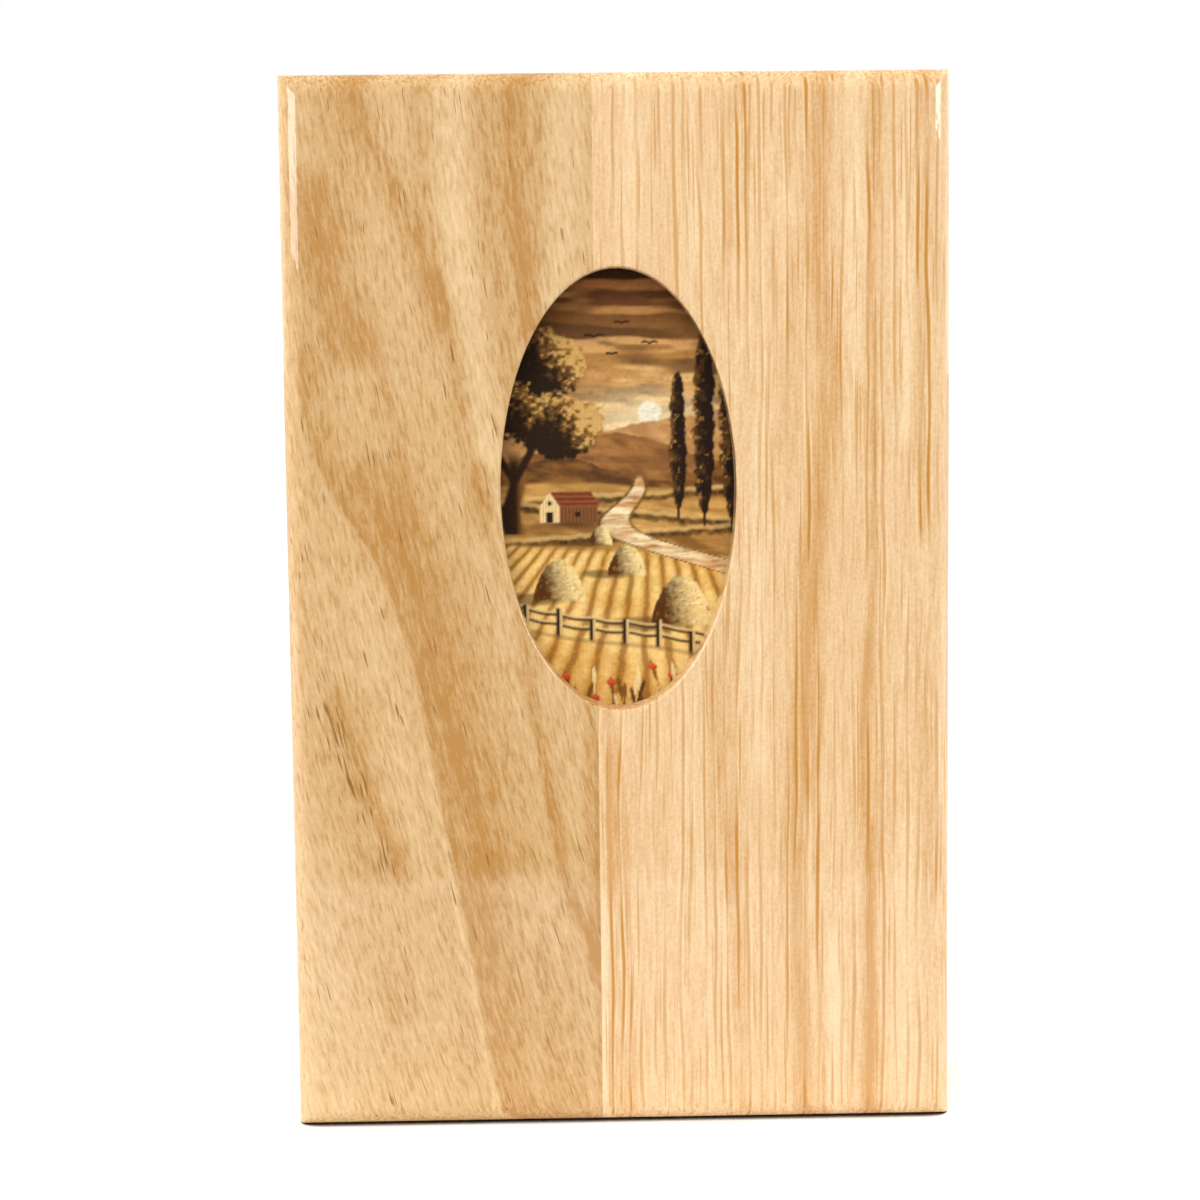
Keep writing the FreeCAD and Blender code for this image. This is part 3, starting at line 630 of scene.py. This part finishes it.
def card_stock():
    """Playing card stock: bleached paper, glued up in two layers and cut on a die.

    The eye sees off-white edges that differ a little from card to card and along each card.
    """
    material, node = new_material("card_stock")
    number = node("Attribute", out="Fac", attribute_name="card")
    luck = node("TexWhiteNoise", {"W": number}, noise_dimensions="1D")
    place = node("TexCoord", out="Object")
    fine = node("Mapping", {"Vector": place, "Scale": (METRE * 0.8, METRE * 3.0, METRE * 0.8)})
    fibres = node("TexNoise", {"Vector": fine, "Scale": 1.0, "Detail": 3.0})
    share = node("Math:MULTIPLY", {0: luck, 1: 0.55})
    share = node("Math:MULTIPLY_ADD", {0: fibres, 1: 0.6, 2: share})
    tone = node("Mix", {0: share, 6: linear("#F8F3E6"), 7: linear("#DCD0B8")}, out=2, data_type="RGBA")
    shader = node("BsdfPrincipled", {"Base Color": tone, "Roughness": 0.55})
    node("OutputMaterial", {"Surface": shader}, out=None)
    return material


# --------------------------------------------------------------------------- the picture on the top card


def lattice_noise(x, z, width, height, seed):
    """Smooth random values from 0 to 1: a seeded lattice of cells, blended between its corners."""
    cells, shift = 128, 40.0
    table = np.random.default_rng(seed).random((cells, cells))
    x, z = x / width + shift, z / height + shift
    column, row = np.floor(x).astype(int), np.floor(z).astype(int)
    across, up = x - column, z - row
    across, up = across * across * (3 - 2 * across), up * up * (3 - 2 * up)
    left, right = column % cells, (column + 1) % cells
    low, high = (table[line % cells, left] * (1 - across) + table[line % cells, right] * across
                 for line in (row, row + 1))
    return low * (1 - up) + high * up


def brushed(x, z, width, height, seed):
    """Three octaves of lattice noise, each half as large and half as strong as the last, from -1 to 1."""
    total = sum(lattice_noise(x, z, width / 2**octave, height / 2**octave, seed + octave) / 2**octave
                for octave in range(3))
    average = (1 + 1 / 2 + 1 / 4) / 2
    return total / average - 1.0


def ramp(low, high, value):
    """A smooth rise from 0 at low to 1 at high, or a smooth fall where low is above high."""
    t = np.clip((value - low) / (high - low), 0, 1)
    return t * t * (3 - 2 * t)


# The middle of the low sun.
SUN_X, SUN_Z = 4.5, 98.2


class Painting:
    """A canvas of colours at given places, in millimetres on the card, laid on from back to front."""

    def __init__(self, x, z):
        self.x, self.z = x, z
        self.colours = np.zeros((len(x), 3))

    def lay(self, cover, colour, second=None, mixed=0.0):
        """Covers the canvas, by shares from 0 to 1, with a colour or with a mix of two."""
        tone = np.array(linear(colour)[:3])
        if second is not None:
            other = np.array(linear(second)[:3])
            tone = tone + (other - tone) * np.clip(mixed, 0, 1)[:, None]
        cover = np.clip(cover, 0, 1)[:, None]
        self.colours = self.colours * (1 - cover) + tone * cover

    def strokes(self, width, height, seed):
        """Brush strokes of a width and a height all over the canvas, around 0."""
        return brushed(self.x, self.z, width, height, seed)

    def sky(self):
        """Evening clouds in long bands over a low sun, lit from below."""
        x, z = self.x, self.z
        height = ramp(92, 122, z + 2.0 * self.strokes(16, 5, 11))
        self.lay(np.ones(len(x)), "#EBAE5E", "#6A3E20", height * 1.15)
        self.lay(ramp(106, 130, z) * 0.75, "#2E1B12")
        bank = brushed(x + 0.5 * z, z, 14, 2.6, 21)
        self.lay(ramp(0.02, 0.38, bank) * 0.75, "#6E4728", "#3E2718", height)
        lit = brushed(x + 0.5 * z, z + 0.7, 14, 2.6, 21) - bank
        self.lay(ramp(0.03, 0.30, lit) * 0.9, "#FAD08A", "#C27E40", height)
        glow = np.exp(-((x - SUN_X) / 9.0) ** 2 - ((z - 97.0) / 4.0) ** 2)
        self.lay(glow * 0.9, "#FBE3AE")
        self.lay(ramp(1.9, 1.3, np.hypot(x - SUN_X, z - SUN_Z)), "#FFF6DA")
        self.lay(0.25 * ramp(0.1, 0.7, self.strokes(1.2, 0.5, 31)), "#2C1C14")

    def hills(self):
        """Three wooded ridges, each darker than the one behind."""
        x, z = self.x, self.z
        ridges = ((96.2, 1.6, "#B98650", "#D9A768", 41), (93.6, 2.0, "#84562F", "#B37C44", 51),
                  (90.6, 1.6, "#5B3A20", "#96652F", 61))
        for ridge, (middle, swing, far, near, seed) in enumerate(ridges):
            line = middle + swing * np.sin(x / (6.5 - ridge) + 1.7 * ridge)
            line = line + 0.35 * self.strokes(1.0, 40, seed)
            light = brushed(x + z, z, 2.2, 1.0, seed + 5) + 0.35
            self.lay(ramp(0.0, 0.35, line - z), far, near, light)

    def meadows(self):
        """Fields behind the river, parted by hedges, and the stubble in front with its rows."""
        x, z = self.x, self.z
        self.lay(ramp(88.6, 88.0, z + 0.5 * np.sin(x / 5)), "#8A5E2C", "#D6A458",
                 0.5 + 1.1 * brushed(x + 2 * z, z, 5, 1.4, 71))
        for place, lean, seed in ((86.4, 0.05, 81), (84.1, -0.08, 82), (81.0, 0.06, 83)):
            hedge = place + lean * x + 0.35 * self.strokes(1.3, 30, seed)
            thick = 0.75 + 0.50 * self.strokes(0.9, 0.9, seed + 9) + 0.45 * self.strokes(4, 30, seed + 20)
            self.lay(ramp(thick, thick * 0.2, np.abs(z - hedge)) * 0.9, "#2E1F10", "#7E5628",
                     0.5 + 1.2 * self.strokes(0.6, 0.6, seed + 10))
            self.lay(ramp(0.5, 0.1, np.abs(z - hedge - 0.65)) * 0.45, "#F0CB82")
        vanishing = 97.5
        down = np.clip(vanishing - z, 1.0, None)
        near = ramp(79.6, 78.6, z + 0.06 * x + 0.3 * self.strokes(3, 9, 91))
        rows = np.sin((x - SUN_X) / down * 62.0 + 0.8 * self.strokes(4, 3, 92))
        straw = self.strokes(0.9, 0.45, 93)
        patch = brushed(x + z, z, 12, 4, 94)
        self.lay(near, "#D49A40", "#FBD686", 0.5 + 0.35 * rows + 0.35 * straw + 0.5 * patch)
        self.lay(near * ramp(0.30, 0.95, -rows + 0.5 * straw) * 0.6, "#7E4E20")
        self.lay(near * ramp(62, 44, z) * 0.5, "#A8712F")

    def river(self):
        """A river in the evening light: it winds down from the hills and leaves at the right."""
        x, z = self.x, self.z
        down = np.clip(89.5 - z, 0, None)
        middle = 3.0 - 7.5 * np.sin(down / 3.6) * ramp(0, 9, down) + 0.06 * down**2
        width = 0.35 + 0.24 * down
        beside = np.abs(x - middle) / width
        reach = ramp(89.8, 89.0, z) * ramp(73.0, 75.5, z + 0.10 * x)
        past = (beside - 1) * width + 0.15 * self.strokes(1.4, 0.9, 101)
        self.lay(reach * ramp(0.75, 0.25, past), "#5A3A1C", "#A4712F", 0.5 + self.strokes(0.7, 0.5, 102))
        water = reach * ramp(0.25, -0.15, past)
        shine = 0.5 + 0.8 * self.strokes(3.2, 0.45, 103)
        self.lay(water, "#C98F4E", "#FFEDBE", shine)
        self.lay(water * ramp(0.15, 0.5, self.strokes(2.4, 0.35, 104)) * 0.6, "#8E5E34")

    def barn(self, left, foot, size):
        """A timber barn: a lit gable, a long shaded roof, a door and two windows.

        over and under are the soft edges that its walls and its roof start and stop at.
        """
        x, z = (self.x - left) / size, (self.z - foot) / size
        soft = 0.12 / size
        over, under = partial(ramp, -soft, soft), partial(ramp, soft, -soft)
        self.lay(ramp(1.1, 0.4, np.hypot((x - 2.6) / 3.2, z / 0.5)) * 0.6, "#3A2414")
        side = over(x - 1.5) * under(x - 4.6) * over(z) * under(z - 1.3)
        self.lay(side, "#8B5A34", "#6A4022", 0.5 + 0.5 * np.sin(x * 22))
        slant = (z - 1.2) * 0.55
        roof = over(z - 1.2) * under(z - 2.45) * over(x - 1.5 + slant * 1.3) * under(x - 4.75 + slant)
        self.lay(roof, "#74371F", "#9C5630",
                 0.4 + 0.6 * np.sin(z * 16) + 0.3 * self.strokes(0.5, 0.5, 111))
        gable = over(x) * under(x - 1.6) * over(z) * under(z - 1.25 - 1.5 * (0.8 - np.abs(x - 0.8)))
        self.lay(gable, "#F7DCA2", "#DDB070", 0.35 + 0.5 * np.sin(x * 26))
        openings = ((0.8, 0.0, 0.28, 0.85), (0.8, 1.35, 0.16, 0.35), (3.0, 0.45, 0.2, 0.4))
        for middle, low, wide, tall in openings:
            high = low + tall
            opening = ramp(wide + soft, wide - soft, np.abs(x - middle))
            opening = opening * ramp(low - soft, low + soft, z) * ramp(high + soft, high - soft, z)
            self.lay(opening, "#2A1810")

    def haystack(self, middle, foot, size):
        """A round stack of hay, lit from the low sun on its right, with a long shadow to the front left."""
        x, z = (self.x - middle) / size, (self.z - foot) / size
        self.lay(0.7 * ramp(1.0, 0.5, np.hypot((x + 1.1 + 0.9 * z) / 1.7, z / 0.32)), "#5E3D1E")
        tufts = self.strokes(0.5, 0.5, int(100 * abs(middle)) + 5)
        dome = 1.55 - 1.3 * np.abs(x) ** 2.4 + 0.10 * tufts
        body = ramp(-0.10, 0.10, dome - z) * ramp(-0.12, 0.08, z + 0.10 * x * x)
        body = body * ramp(1.08, 0.98, np.abs(x))
        straw = brushed(self.x * 1.5 + self.z, self.z * 0.6 - self.x * 0.5, 0.8, 0.4, 121)
        light = ramp(-0.65, 0.75, x + 0.25 * z - 0.1 + 0.35 * straw)
        self.lay(body, "#55300F", "#F9DA92", light)
        self.lay(body * ramp(0.15, 0.65, straw) * 0.65, "#9A6226")
        glint = brushed(self.x - self.z, self.z, 0.7, 0.35, 122)
        self.lay(body * ramp(0.1, 0.5, glint) * light * 0.6, "#FFF0C0")

    def poplar(self, middle, foot, tall, wide, seed):
        """A tall narrow tree, dark, with leaves that catch the light on the side of the sun."""
        x, z = self.x - middle, (self.z - foot) / tall
        shape = wide * np.sqrt(np.clip(z - 0.06, 0, 1)) * np.sqrt(np.clip(1.02 - z, 0, 1)) * 1.35
        leaves = self.strokes(1.1, 0.9, seed)
        edge = shape * (1 + 0.30 * leaves) + 0.12 * leaves
        crown = ramp(-0.15, 0.15, edge - np.abs(x)) * ramp(0.02, 0.08, z) * ramp(1.04, 1.0, z)
        self.lay(ramp(0.22, 0.08, np.abs(x)) * ramp(-0.01, 0.01, z) * ramp(0.2, 0.1, z), "#3A2415")
        light = ramp(0.0, 0.9, -x / wide + 0.75 * self.strokes(0.7, 0.9, seed + 1))
        self.lay(crown, "#24170E", "#7A5426", light * 0.8)
        sprig = self.strokes(0.5, 0.6, seed + 2) - 0.4 * x / wide
        self.lay(crown * ramp(0.35, 0.75, sprig) * 0.7, "#C48E48")

    def broad_tree(self, middle, foot, size, seed):
        """A spreading tree: a forked trunk under clumps of leaves lit from the right."""
        x, z = (self.x - middle) / size, (self.z - foot) / size
        trunk = ramp(0.13, 0.06, np.abs(x + 0.05 * np.sin(6 * z)) - 0.05 * (1 - z))
        self.lay(trunk * ramp(-0.02, 0.02, z) * ramp(1.2, 0.9, z), "#2E1C10", "#8A5A2E",
                 ramp(0.0, 0.12, x))
        for lean in (-0.55, 0.5):
            branch = np.abs(x - lean * np.clip(z - 0.7, 0, None) * 1.1)
            self.lay(ramp(0.09, 0.03, branch) * ramp(0.65, 0.75, z) * ramp(1.6, 1.3, z), "#2E1C10")
        ragged = self.strokes(1.6, 1.3, seed)
        for away, up, reach in ((-0.75, 1.45, 0.55), (0.65, 1.4, 0.5), (-0.15, 1.95, 0.75), (0.45, 2.25, 0.5),
                                (-0.6, 2.2, 0.5)):
            clump = np.hypot(x - away, (z - up) * 1.15) / reach + 0.30 * ragged
            leaf = self.strokes(0.6, 0.5, seed + 3)
            light = ramp(-0.2, 0.9, (x - away + 0.7 * (z - up)) / reach + 0.6 * leaf)
            self.lay(ramp(1.05, 0.9, clump + 0.12 * leaf), "#2A1B0F", "#B07E3C", light)
            self.lay(ramp(1.0, 0.9, clump) * ramp(0.45, 0.8, light + 0.4 * leaf - 0.2) * 0.7, "#E6BC72")

    def birds(self):
        """A few birds, each a pair of bent strokes."""
        for middle, height, size in ((-3.0, 108.5, 1.5), (0.8, 110.4, 1.1), (-0.6, 106.2, 0.9),
                                     (4.6, 107.6, 1.2)):
            x, z = (self.x - middle) / size, (self.z - height) / size
            wing = np.abs(z - 0.55 * np.sqrt(np.abs(x)) + 0.35 * x * x) * size
            self.lay(ramp(0.26, 0.05, wing) * ramp(1.05, 0.85, np.abs(x)), "#24160D")

    def fence(self):
        """A rail fence along the near field, with posts every few millimetres."""
        x, z = self.x, self.z
        base = 66.5 - 0.16 * x + 0.25 * np.sin(x / 4)
        for rail in (1.4, 2.7):
            line = z - base - rail - 0.1 * np.sin(x * 1.3)
            self.lay(ramp(0.42, 0.10, np.abs(line)), "#4E3219")
            self.lay(ramp(0.30, 0.02, np.abs(line - 0.26)) * 0.75, "#F3CF8C")
        spacing = 4.6
        post = np.abs((x + 1.4) % spacing - spacing / 2)
        tall = 3.3 + 0.5 * np.sin(np.floor((x + 1.4) / spacing) * 2.1)
        reach = ramp(-0.4, 0.0, z - base) * ramp(0.1, -0.1, z - base - tall)
        self.lay(ramp(0.55, 0.25, post) * reach, "#3C2614")
        self.lay(ramp(0.30, 0.05, np.abs((x + 1.1) % spacing - spacing / 2)) * reach * 0.8, "#F3D191")
        self.lay(0.45 * ramp(0.5, 0.1, np.abs(z - base + 0.25)), "#7A5128")

    def grasses(self):
        """Grasses with seed heads in front, taller towards the corners, and poppies among them."""
        random = np.random.default_rng(7)
        ground = 44.5
        for blade in range(190):
            root = random.uniform(-31, 31)
            tall = random.uniform(7, 26) * (0.7 + 0.2 * abs(root) / 31)
            bend = random.normal(0, 0.09)
            colour = ("#4A2C12", "#F8DE9C", "#7A4C1E", "#E8B662")[blade % 4]
            up = (self.z - ground) / tall
            inside = np.flatnonzero((up > 0) & (up < 1.05) & (np.abs(self.x - root) < 6))
            if not len(inside):
                continue
            x, rise = self.x[inside] - root, up[inside]
            aside = np.abs(x - bend * tall * rise**2)
            stem = ramp(0.26, 0.10, aside + 0.05 * rise)
            head = ramp(1.0, 0.7, np.hypot(aside / 0.34, (rise - 0.93) / 0.09))
            cover = np.zeros(len(self.x))
            cover[inside] = np.maximum(stem * (rise < 0.95), head)
            self.lay(cover * 0.9, colour)
            if blade % 6 == 0:
                poppy = np.zeros(len(self.x))
                poppy[inside] = ramp(1.0, 0.7, np.hypot(aside / 0.75, (rise - 0.96) * tall / 0.6))
                self.lay(poppy, "#B33B22", "#E0683A", 0.5 + (self.z - ground - 0.96 * tall))

    def border(self):
        """The white margin of the card, and a thin dark line inside it."""
        margin = 3.0
        edge = np.maximum(np.abs(self.x) - (CARD_HALF_WIDTH - margin),
                          np.abs(self.z - CARD_MID) - (CARD_TALL / 2 - margin))
        self.lay(ramp(0.30, 0.12, np.abs(edge + 0.9)) * 0.8, "#F6E6C0")
        self.lay(ramp(-0.25, 0.0, edge), "#3A2618")
        self.lay(ramp(0.25, 0.5, edge), "#F7F2E6")


def paint_evening(painting):
    """A made-up country evening, from the sky down to the flowers in front, and the card's margin."""
    painting.sky()
    painting.hills()
    painting.meadows()
    painting.river()
    painting.barn(-10.8, 83.2, 1.75)
    for poplar in ((12.0, 82.5, 27.0, 2.3, 131), (8.4, 83.6, 20.0, 1.8, 141), (15.8, 81.5, 31.0, 2.6, 151),
                   (-25.0, 84.0, 23.0, 2.2, 161)):
        painting.poplar(*poplar)
    painting.broad_tree(-14.2, 81.6, 10.4, 171)
    painting.birds()
    for stack in ((-2.4, 80.2, 1.6), (22.0, 77.0, 2.6), (1.2, 76.0, 2.6), (-22.5, 73.5, 3.0),
                  (-8.2, 72.6, 3.5), (8.8, 69.0, 4.2)):
        painting.haystack(*stack)
    painting.fence()
    painting.grasses()
    painting.border()


def steps_across(low, fine_low, fine_high, high):
    """Places from low to high, 0.45 mm apart, and 0.2 mm apart where the window shows the card."""
    coarse, fine = 0.45, 0.20
    parts = [np.linspace(start, end, round((end - start) / step), endpoint=False)
             for start, end, step in ((low, fine_low, coarse), (fine_low, fine_high, fine))]
    return np.concatenate([*parts, np.linspace(fine_high, high, round((high - fine_high) / coarse) + 1)])


def top_card():
    """The uppermost card, with its picture: a closed sheet, finer where the window shows it.

    The front is a grid from edge to edge, whose rows shorten at the rounded corners. It carries one
    colour per point. The rim and the back close the sheet.
    """
    seen_half_width, seen_low, seen_high = 17.5, 56.0, 119.5
    across = steps_across(-CARD_HALF_WIDTH, -seen_half_width, seen_half_width, CARD_HALF_WIDTH)
    up = steps_across(CARD_LOW, seen_low, seen_high, CARD_HIGH)
    share = (up - CARD_LOW) / CARD_TALL
    x = across[None, :] * (card_outline(share) / CARD_HALF_WIDTH)[:, None]
    z = np.repeat(up[:, None], len(across), 1)
    front = np.stack([x.ravel(), np.full(x.size, CARD_FRONT - CARD_THICK), z.ravel()], 1)
    rows, columns = x.shape
    faces = grid_faces(rows, columns)
    rim = np.concatenate([np.arange(columns), np.arange(1, rows) * columns + columns - 1,
                          (rows - 1) * columns + np.arange(columns - 2, -1, -1),
                          np.arange(rows - 2, 0, -1) * columns]).tolist()
    back = front[rim].copy()
    back[:, 1] += CARD_THICK - 2 * CARD_GAP
    first, count = len(front), len(rim)
    for corner in range(count):
        after = (corner + 1) % count
        faces.append([rim[after], rim[corner], first + corner, first + after])
    faces.append([first + corner for corner in reversed(range(count))])
    sheet = make_piece("picture_card", np.concatenate([front, back]), faces, "drawer")

    painting = Painting(front[:, 0], front[:, 2])
    paint_evening(painting)
    colours = np.ones((first + count, 4), np.float32)
    colours[:first, :3] = painting.colours
    colours[first:, :3] = linear("#F4EEDF")[:3]
    layer = sheet.data.attributes.new("print", "FLOAT_COLOR", "POINT")
    layer.data.foreach_set("color", colours.ravel())
    return sheet


def printed_card():
    """The printed face of a playing card: offset ink on coated stock, pressed with a fine linen grain.

    The eye sees a warm picture with the slightest mottle, and a dull sheen.
    """
    material, node = new_material("printed_card")
    ink = node("Attribute", out="Color", attribute_name="print")
    place = node("TexCoord", out="Object")
    millimetres = node("Mapping", {"Vector": place, "Scale": (METRE,) * 3})
    mottle = node("TexNoise", {"Vector": millimetres, "Scale": 1.7, "Detail": 3.0})
    mottle = node("MapRange", {"Value": mottle, "From Min": 0.25, "From Max": 0.75, "To Min": 0.90,
                               "To Max": 1.08})
    tone = node("VectorMath:SCALE", {0: ink, "Scale": mottle})
    woven = node("TexWave", {"Vector": millimetres, "Scale": 0.55}, out="Fac", bands_direction="X")
    cross = node("TexWave", {"Vector": millimetres, "Scale": 0.55}, out="Fac", bands_direction="Z")
    linen = node("Math:ADD", {0: woven, 1: cross})
    bump = node("Bump", {"Strength": 0.12, "Distance": 0.0001, "Height": linen})
    shader = node("BsdfPrincipled", {"Base Color": tone, "Roughness": 0.5, "Specular IOR Level": 0.1,
                                     "Normal": bump})
    node("OutputMaterial", {"Surface": shader}, out=None)
    return material


# ------------------------------------------------------------------------------------------- the pieces

left_board, left_points = front_board("front_board_left", -1)
right_board, right_points = front_board("front_board_right", 1)
flat_lean, rift_lean = 1.3, 0.4
store(left_board, "figure", streak_field(left_points, FLAT_STREAKS, flat_lean))
store(left_board, "drift", left_board_drift(left_points))
store(left_board, "pits", streak_field(left_points, PITTED, flat_lean))
store(right_board, "figure", streak_field(right_points, RIFT_STREAKS, rift_lean))

# The front: a flat-sawn board with open pores, and a paler rift-sawn one with long straight grain.
flat_look = dict(fleck=0.42, line=0.8, line_length=5.0, line_from=0.668, grit_share=0.5, light="#E0BB86",
                 dark="#C08D4B", pore="#875606")
rift_look = dict(ring_width=1.6, light="#F2CF9F", dark="#D8A568", pore="#C78A34", row=0.95, line=0.6,
                 dash_length=28.0, line_length=22.0, fleck=0.25, fleck_length=4.0, grit_share=0.9, mottle=0.8,
                 sway_by=1.0, wander=1.2)
left_board.data.materials.append(oak("flat_sawn_oak", figured=True, leaning=True, mottle=0.35, **flat_look))
right_board.data.materials.append(oak("rift_sawn_oak", figured=True, pith=(-200.0, -60.0), **rift_look))

# The back is glued up of the same two boards, the other way round.
dress("back_board_right", oak("flat_sawn_oak_back", tilt=0.13, pith=(22.0, -38.0), ring_width=4.4,
                              ring_depth=0.8, mottle=0.5, offset=(7.0, 3.0, 60.0), **flat_look))
dress("back_board_left", oak("rift_sawn_oak_back", pith=(190.0, 60.0), ring_depth=0.25, **rift_look))

# Straight-grained rails.
rail_look = dict(ring_width=2.3, light="#EFC992", dark="#CF9C5C", pore="#B98238", row=0.7, line=0.6,
                 dash_length=18.0, line_length=14.0, fleck=0.35, fleck_length=3.0, grit_share=0.7, mottle=0.8,
                 sway_by=1.6, wander=1.6, ring_depth=0.35)
dress("side_rail_left", oak("rail_oak_left", pith=(-60.0, -95.0), offset=(0.0, 11.0, 20.0), **rail_look))
dress("side_rail_right", oak("rail_oak_right", pith=(75.0, 90.0), offset=(5.0, 0.0, -30.0), **rail_look))
dress("end_rail", oak("rail_oak_foot", grain="X", pith=(110.0, -40.0), **rail_look))

# The drawer's oak has hardly any lacquer, so that it runs smoothly.
drawer_look = dict(ring_width=2.6, light="#F2CF9B", dark="#D6A768", pore="#BE8A44", row=0.6, line=0.5,
                   dash_length=16.0, line_length=12.0, fleck=0.35, fleck_length=2.6, grit_share=0.7,
                   mottle=0.9, sway_by=1.8, wander=2.0, ring_depth=0.4, gloss=0.08)
dress("drawer_side_left", oak("drawer_oak_left", pith=(-70.0, 70.0), offset=(3.0, 0.0, 9.0), **drawer_look))
dress("drawer_side_right", oak("drawer_oak_right", pith=(90.0, -50.0), offset=(0.0, 8.0, -17.0),
                               **drawer_look))
drawer_across = oak("drawer_oak_across", grain="X", pith=(40.0, -60.0), **drawer_look)
for node_name in ("drawer_front", "drawer_back", "drawer_divider"):
    dress(node_name, drawer_across)
dress("drawer_bottom", oak("panel_oak", tilt=0.10, pith=(-6.0, -30.0), ring_width=4.8, ring_depth=0.7,
                           mottle=0.6, fleck=0.45, light="#EBC690", dark="#CC9A5A", line=0.6,
                           line_length=6.0, line_from=0.66, pore="#A5733A", grit_share=0.5))
dress("stop_dowels", oak("dowel_oak", grain="Y", pith=(30.0, 30.0), ring_width=1.8, light="#DDB27A",
                         dark="#B98449", pore="#8F6230", row=0.5, line=0.5, grit_share=0.6))

pack = card_pack()
pack.data.materials.append(card_stock())
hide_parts("card_stack")
picture = top_card()
picture.data.materials.append(printed_card())
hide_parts("top_card")


# --------------------------------------------------------------------------------------- light and ground


def make_table():
    """A white table top, a large square that looks different to each kind of ray.

    The camera sees white, and a dark line of painted shade in the narrow gap under the box. The lacquer
    mirrors a table that ends 180 mm in front of the box's middle. The light that it throws back on the box is
    brightest close to the front and behind it, and duller from 18 mm in front of it on.
    """
    material, node = new_material("white_table")
    path = node("LightPath", out=None).outputs
    place = node("TexCoord", out="Object")
    depth = node("SeparateXYZ", {0: place}, out="Y")
    table_end, blur, dull_from, bright_from = -0.180, 0.001, -0.035, -0.018
    near = node("MapRange", {"Value": depth, "From Min": table_end - blur, "From Max": table_end + blur,
                             "To Min": 0.25})
    close = node("MapRange", {"Value": depth, "From Min": dull_from, "From Max": bright_from,
                              "To Min": 0.53, "To Max": 0.95})
    plain = node("Math:MULTIPLY", {0: near, 1: close})
    mirrored = node("Math:MULTIPLY", {0: near, 1: 1.05})
    whiteness = node("Mix", {0: path["Is Glossy Ray"], 2: plain, 3: mirrored})
    distance = node("VectorMath:LENGTH", {0: place}, out="Value")
    seen = node("MapRange", {"Value": distance, "From Min": 0.08, "From Max": 0.35, "To Min": 1.1,
                             "To Max": 2.0})
    # Painted shade: where ambient occlusion finds the narrow gap under the box, the camera's white turns
    # dark.
    open_air = node("AmbientOcclusion", {"Distance": 0.0025}, out="AO", samples=8)
    crevice_shade = node("MapRange", {"Value": open_air, "From Min": 0.30, "From Max": 0.55, "To Min": 0.03})
    seen = node("Math:MULTIPLY", {0: seen, 1: crevice_shade})
    whiteness = node("Mix", {0: path["Is Camera Ray"], 2: whiteness, 3: seen})
    paint = node("BsdfDiffuse", {"Color": whiteness})
    node("OutputMaterial", {"Surface": paint}, out=None)
    mesh = bpy.data.meshes.new("table")
    reach = 6.0
    corners = [(-reach, -reach, 0), (reach, -reach, 0), (reach, reach, 0), (-reach, reach, 0)]
    mesh.from_pydata(corners, [], [(0, 1, 2, 3)])
    mesh.materials.append(material)
    table = bpy.data.objects.new("table", mesh)
    scene.collection.objects.link(table)


def make_room():
    """A white room: plain white to the camera, and for the box dimmer in front of it than behind it."""
    world = bpy.data.worlds.new("room")
    scene.world = world
    world.use_nodes = True
    tree = world.node_tree
    tree.nodes.clear()
    node = partial(add, tree)
    path = node("LightPath", out=None).outputs
    direction = node("TexCoord", out="Generated")
    backwards = node("SeparateXYZ", {0: direction}, out="Y")
    strength = node("MapRange", {"Value": backwards, "From Min": -0.25, "From Max": 0.25, "To Min": 0.55},
                    **SMOOTH)
    shine = node("MapRange", {"Value": backwards, "From Min": -0.25, "From Max": 0.5, "To Min": 0.55,
                              "To Max": 1.8}, **SMOOTH)
    strength = node("Mix", {0: path["Is Glossy Ray"], 2: strength, 3: shine})
    strength = node("Mix", {0: path["Is Camera Ray"], 2: strength, 3: 1.0})
    room = node("Background", {"Color": linear("#FFFFFF"), "Strength": strength})
    node("OutputWorld", {"Surface": room}, out=None)


# Each lamp: its name, degrees round from the front, its place's height and distance, its width and height in
# metres, and watts.
LAMPS = [
    ("overhead", -8, 0.58, 0.66, 0.5, 0.5, 4.4),
    ("left_wall", -80, 0.20, 0.70, 0.5, 0.5, 2.4),
    ("right_wall", 80, 0.20, 0.70, 0.5, 0.5, 1.8),
    ("left_pane", -39, 0.24, 0.70, 0.46, 0.20, 2.1),
    ("right_pane", 50, 0.285, 0.70, 0.30, 0.20, 2.6),
]


def make_lamps():
    """Three soft lamps that light the wood, and two window panes that only the lacquer mirrors."""
    target = Vector((0, 0, 0.08))
    for name, side, height, away, width, tall, power in LAMPS:
        data = bpy.data.lights.new(name, "AREA")
        data.shape = "RECTANGLE"
        data.size, data.size_y = width, tall
        data.energy = power
        lamp = bpy.data.objects.new(name, data)
        lamp.location = (away * math.sin(math.radians(side)), -away * math.cos(math.radians(side)), height)
        aim = target - lamp.location
        lamp.visible_glossy = name.endswith("pane")
        lamp.visible_diffuse = not lamp.visible_glossy
        lamp.rotation_euler = aim.to_track_quat("-Z", "Y").to_euler()
        scene.collection.objects.link(lamp)


make_table()
make_room()
make_lamps()
scene.view_settings.view_transform = "Standard"
